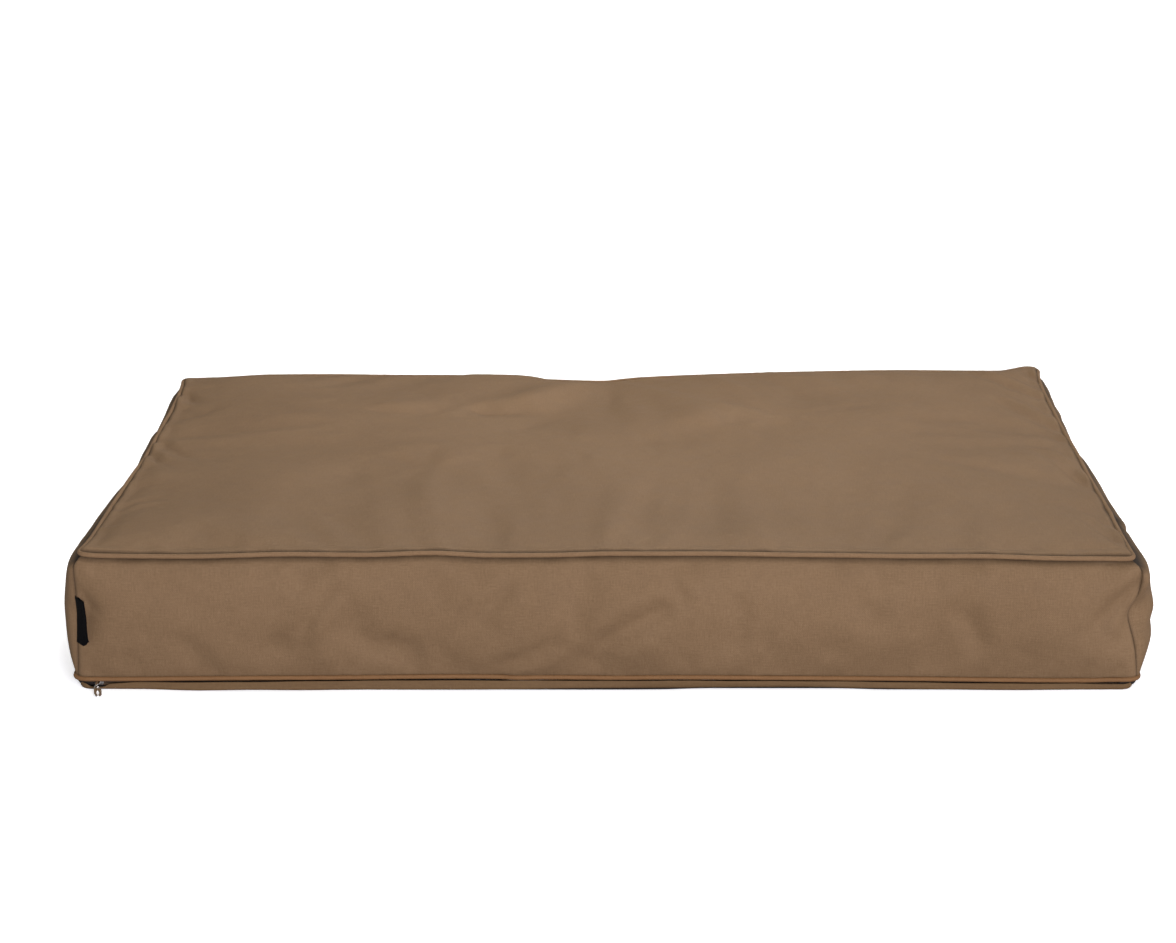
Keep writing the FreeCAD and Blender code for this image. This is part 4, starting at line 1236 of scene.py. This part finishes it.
lo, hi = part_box("zip_tape_upper")
xs = np.linspace(lo.x, hi.x, 200)
zs = np.linspace(lo.z, hi.z, 5)
g = np.zeros((len(xs), len(zs), 3))
g[..., 0] = xs[:, None]
g[..., 1] = (lo.y + hi.y) / 2 + .0002 * np.sin(xs * 40)[:, None]
g[..., 2] = zs[None]
o = grid_piece("tape_upper", g, g[..., [0, 2]], subdiv=0, thick=0.0007, offset=0.0)
finish_piece(o, M_TAPE, "zip_tape_upper", "cushion")
lo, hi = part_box("zip_tape_lower")
prof = np.array([(lo.y + .0004, hi.z), (lo.y + .0004, .0032), (lo.y + .0008, .0022), (lo.y + .0019, .0017), (hi.y, .0016)])
g = np.zeros((len(xs), len(prof), 3))
g[..., 0] = xs[:, None]
g[..., 1] = prof[None, :, 0]
g[..., 2] = prof[None, :, 1]
pl = np.concatenate([[0], np.cumsum(np.linalg.norm(np.diff(prof, axis=0), axis=1))])
o = grid_piece("tape_lower", g, np.stack([g[..., 0], np.broadcast_to(pl[None], g.shape[:2])], 2), subdiv=0, thick=0.0007, offset=0.0)
finish_piece(o, M_TAPE, "zip_tape_lower", "cushion")

# ------------------------------------------------------------------ labels
l_lo, l_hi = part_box("side_label")


def label():
    """A strip folded once, its ends caught in the corner seam."""
    z0, z1 = l_lo.z + .0100, l_hi.z + .0035
    corner = NOW[IDS["front"][:, 0]]
    reach = .0185
    prof = []
    for s in np.linspace(-.003, reach - .0012, 10):
        prof.append((s, .0008 + .0004 * math.sin(s * 260)))
    for t in np.linspace(-70, 70, 7):
        prof.append((reach - .0012 + .0012 * math.cos(math.radians(t)), -.0010 * math.sin(math.radians(t))))
    for s in np.linspace(reach - .0012, -.003, 10):
        prof.append((s, -.0008 + .0003 * math.sin(s * 230)))
    prof = np.array(prof)
    zs = np.linspace(z0, z1, 26)
    k = (zs - z0) / (z1 - z0)
    root = np.stack([np.interp(zs, corner[:, 2], corner[:, 0]), np.interp(zs, corner[:, 2], corner[:, 1])], 1)
    turn = np.radians(53 - 21 * k)
    d = np.stack([np.sin(turn), -np.cos(turn)], 1)
    n = np.stack([d[:, 1], -d[:, 0]], 1)
    g = np.zeros((len(prof), len(zs), 3))
    curl = .0016 * np.sin(k * math.pi * 1.3 + .3)
    for i, (s, o_) in enumerate(prof):
        out = max(s, 0) / reach
        g[i, :, :2] = root + d * s + n * (o_ + curl * out ** 2)[:, None]
        g[i, :, 2] = zs - .0050 * out * (1 - .45 * k) + .0085 * float(smooth(out, .55, 1)) * (1 - k) ** 5
    return g, prof, zs


g, prof, zs = label()
pl = np.concatenate([[0], np.cumsum(np.linalg.norm(np.diff(prof, axis=0), axis=1))])
uv = np.stack([np.broadcast_to(pl[:, None], g.shape[:2]), np.broadcast_to(zs[None], g.shape[:2])], 2)
o = grid_piece("label_side", g, uv, subdiv=1, thick=0.0004, offset=0.0)
finish_piece(o, M_LABEL, "side_label", "cushion")

c_lo, c_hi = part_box("care_label")
xs = np.linspace(c_lo.x, c_hi.x, 8)
ys = np.linspace(c_lo.y, c_hi.y, 12)
g = np.zeros((8, 12, 3))
g[..., 0], g[..., 1] = xs[:, None], ys[None]
g[..., 2] = .0016 + .0002 * np.sin(ys * 90)[None]
o = grid_piece("label_care", g, g[..., :2], subdiv=1, thick=0.0003, offset=0.0)
finish_piece(o, M_CARE, "care_label", "cushion")


# ------------------------------------------------------------------ inner cushion
def shell(inset, low, reach=1.0):
    """Skin inside the cover, from the settled cover itself: a grid for the top, each band and the base, and the rows
    and columns kept.
    """
    verts, faces, group = [], [], []

    def thin(k):
        idx = list(range(0, k, 2))
        if idx[-1] != k - 1:
            idx.append(k - 1)
        return np.array(idx)

    iu, iw, it = thin(NU), thin(NW), thin(NT)
    pts = {"top": NOW[IDS["top"]][np.ix_(iu, iw)]}
    for w in SIDES:
        pts[w] = NOW[IDS[w]][np.ix_(it, iu if w in ("front", "back") else iw)]
    base = base_grid()[np.ix_(iu, iw)].copy()
    base[..., 2] = 0.0
    out = {}
    for k, p in list(pts.items()) + [("base", base)]:
        q = p.copy()
        x, y, z = q[..., 0], q[..., 1], q[..., 2]
        # squeeze toward the middle, rounding the upright corners and the foot
        x2 = x * (1 - inset / SX)
        y2 = y * (1 - inset / SY)
        foot = np.clip((.05 - z) / .05, 0, 1) ** 2 * .028
        x2 = x2 - np.sign(x2) * foot * smooth(np.abs(x2), SX - .10, SX - .02)
        y2 = y2 - np.sign(y2) * foot * smooth(np.abs(y2), SY - .10, SY - .02)
        head = smooth(z, .130, .158) * .006
        x2 = x2 - np.sign(x2) * head * smooth(np.abs(x2), SX - .06, SX - .01)
        y2 = y2 - np.sign(y2) * head * smooth(np.abs(y2), SY - .06, SY - .01)
        z2 = np.where(z > .08, z - inset * smooth(z, .08, .16), z + low * (1 - smooth(z, .0, .08)))
        q = np.stack([x2, y2, z2], -1)
        out[k] = q
    return out, (iu, iw, it)


parts, _ = shell(0.0095, 0.0035)
o = grid_piece("inner_liner_top", parts["top"], parts["top"][..., :2], subdiv=1, thick=0.0006)
finish_piece(o, M_LINER, "liner_top", "cushion")
base_p = parts["base"]
base_p[..., 2] = .0036
o = grid_piece("inner_liner_base", base_p, base_p[..., :2], flip=True, subdiv=1, thick=0.0006)
finish_piece(o, M_LINER, "liner_base", "cushion")
loop = np.concatenate([parts[w][:, :-1] for w in SIDES] + [parts["front"][:, :1]], 1)
loop = loop[1:]
foot = loop[0].copy()
foot[:, 2] = .0036
loop = np.concatenate([foot[None], loop], 0)
dl = np.concatenate([[0], np.cumsum(np.linalg.norm(np.diff(loop[len(loop) // 2], axis=0), axis=1))])
uvl = np.stack([np.broadcast_to(dl[None], loop.shape[:2]), loop[..., 2]], 2)
o = grid_piece("inner_liner_band", loop, uvl, flip=True, subdiv=0, thick=0.0006)
finish_piece(o, M_LINER, "liner_band", "cushion")

# two chambers of fibre and the baffle between them
parts, _ = shell(0.0125, 0.0050)


def fill_mesh(name, side, node):
    bm = bmesh.new()
    grids = [(parts["top"], False), (parts["base"], True)] + [(parts[w], True) for w in SIDES]
    parts["base"][..., 2] = .0052
    for p, fl in grids:
        rows, cols = p.shape[:2]
        ids = np.arange(rows * cols).reshape(rows, cols)
        vs = [bm.verts.new(tuple(map(float, v))) for v in p.reshape(-1, 3)]
        for q in quads(ids, fl):
            bm.faces.new([vs[int(i)] for i in q])
    bmesh.ops.remove_doubles(bm, verts=bm.verts, dist=0.0006)
    edges = [e for e in bm.edges if e.is_boundary]
    if edges:
        bmesh.ops.holes_fill(bm, edges=edges, sides=0)
    cut = bmesh.ops.bisect_plane(bm, geom=bm.verts[:] + bm.edges[:] + bm.faces[:], plane_co=(.0011 * side, 0, 0), plane_no=(side, 0, 0), clear_inner=True, clear_outer=False)
    edges = [e for e in bm.edges if e.is_boundary]
    bmesh.ops.holes_fill(bm, edges=edges, sides=0)
    bmesh.ops.recalc_face_normals(bm, faces=bm.faces)
    me = bpy.data.meshes.new(name)
    bm.to_mesh(me)
    bm.free()
    o = bpy.data.objects.new(name, me)
    scene.collection.objects.link(o)
    finish_piece(o, M_FIBRE, node, "cushion")
    return o


fill_mesh("fill_left_block", -1, "fill_left")
fill_mesh("fill_right_block", 1, "fill_right")
ys = np.linspace(-SY + .022, SY - .022, 60)
top_mid = parts["top"]
mid_i = int(np.argmin(np.abs(top_mid[:, 0, 0])))
zt = np.interp(ys, top_mid[mid_i, :, 1], top_mid[mid_i, :, 2])
g = np.zeros((len(ys), 14, 3))
g[..., 1] = ys[:, None]
k = np.linspace(0, 1, 14)[None]
g[..., 2] = .0056 * (1 - k) + (zt[:, None] - .001) * k
o = grid_piece("inner_baffle", g, g[..., [1, 2]], subdiv=0, thick=0.0006, offset=0.0)
finish_piece(o, M_LINER, "liner_baffle", "cushion")

# ------------------------------------------------------------------ floor, light and camera
bpy.ops.mesh.primitive_plane_add(size=60, location=(0, 10, 0))
floor = bpy.context.object
floor.name = "floor"
m = Mat("floor_white")
n = m.noise(m.coords("Object"), 3.0, 2.0)
seen = m.n("ShaderNodeLightPath").outputs["Is Camera Ray"]
pale = m.ramp(n, [(0.0, (.93, .93, .93, 1)), (1.0, (.95, .95, .95, 1))])
m.put(m.bsdf.inputs["Base Color"], m.mix(seen, (.34, .33, .32, 1), pale))
m.bsdf.inputs["Roughness"].default_value = 0.9
m.bsdf.inputs["Specular IOR Level"].default_value = 0.0
m.bsdf.inputs["Emission Color"].default_value = (1, 1, 1, 1)
m.put(m.bsdf.inputs["Emission Strength"], m.math("MULTIPLY", seen, 0.52))
floor.data.materials.append(m.m)

world = bpy.data.worlds.new("world")
scene.world = world
world.use_nodes = True
world.node_tree.nodes["Background"].inputs[0].default_value = (1, 1, 1, 1)
world.node_tree.nodes["Background"].inputs[1].default_value = 0.27


def sun(name, azimuth, elevation, strength, angle, color=(1, 1, 1)):
    """A broad soft light; azimuth 0 shines from the front, 90 from the right."""
    d = bpy.data.lights.new(name, "SUN")
    d.energy, d.angle, d.color = strength, math.radians(angle), color
    o = bpy.data.objects.new(name, d)
    a, e = math.radians(azimuth), math.radians(elevation)
    way = Vector((math.sin(a) * math.cos(e), -math.cos(a) * math.cos(e), math.sin(e)))
    o.rotation_euler = way.to_track_quat("Z", "Y").to_euler()
    scene.collection.objects.link(o)


sun("window", 162, 44, 1.12, 22, (1.0, .984, .980))
sun("front_fill", 18, 9, 3.45, 26, (1.0, .990, 1.15))


def area(name, loc, target, size, power, color=(1, 1, 1)):
    d = bpy.data.lights.new(name, "AREA")
    d.shape = "RECTANGLE"
    d.size, d.size_y = size
    d.energy = power
    d.color = color
    o = bpy.data.objects.new(name, d)
    o.location = loc
    o.rotation_euler = (Vector(target) - Vector(loc)).to_track_quat("-Z", "Y").to_euler()
    scene.collection.objects.link(o)
    return o


area("window_panel", (.08, .30, 1.30), (.05, -.02, .15), (.8, .4), 11, (1.0, .985, .985))
area("left_panel", (-2.3, -.10, .50), (-.60, .0, .08), (.9, .5), 9)
area("right_panel", (2.3, -.10, .50), (.60, .0, .08), (.9, .5), 9)
area("front_panel", (.35, -2.1, .95), (.06, -.40, .08), (.9, .6), 16)

cam_d = bpy.data.cameras.new("camera")
cam = bpy.data.objects.new("camera", cam_d)
scene.collection.objects.link(cam)
scene.camera = cam
cam_d.sensor_width = 36
cam_d.sensor_fit = "HORIZONTAL"
cam_d.lens = 2830.0 / 1176 * 36
cam_d.clip_start, cam_d.clip_end = 0.05, 60
yaw, pitch, roll = 0.0171, 0.2898, -0.0055
fwd = Vector((-math.sin(yaw) * math.cos(pitch), math.cos(yaw) * math.cos(pitch), -math.sin(pitch)))
right = Vector((math.cos(yaw), math.sin(yaw), 0))
up = right.cross(fwd)
r2 = right * math.cos(roll) + up * math.sin(roll)
u2 = -right * math.sin(roll) + up * math.cos(roll)
from mathutils import Matrix
cam.matrix_world = Matrix(((r2.x, u2.x, -fwd.x, .0339), (r2.y, u2.y, -fwd.y, -3.4119), (r2.z, u2.z, -fwd.z, 1.1579), (0, 0, 0, 1)))

scene.view_settings.view_transform = "Standard"
scene.view_settings.look = "None"
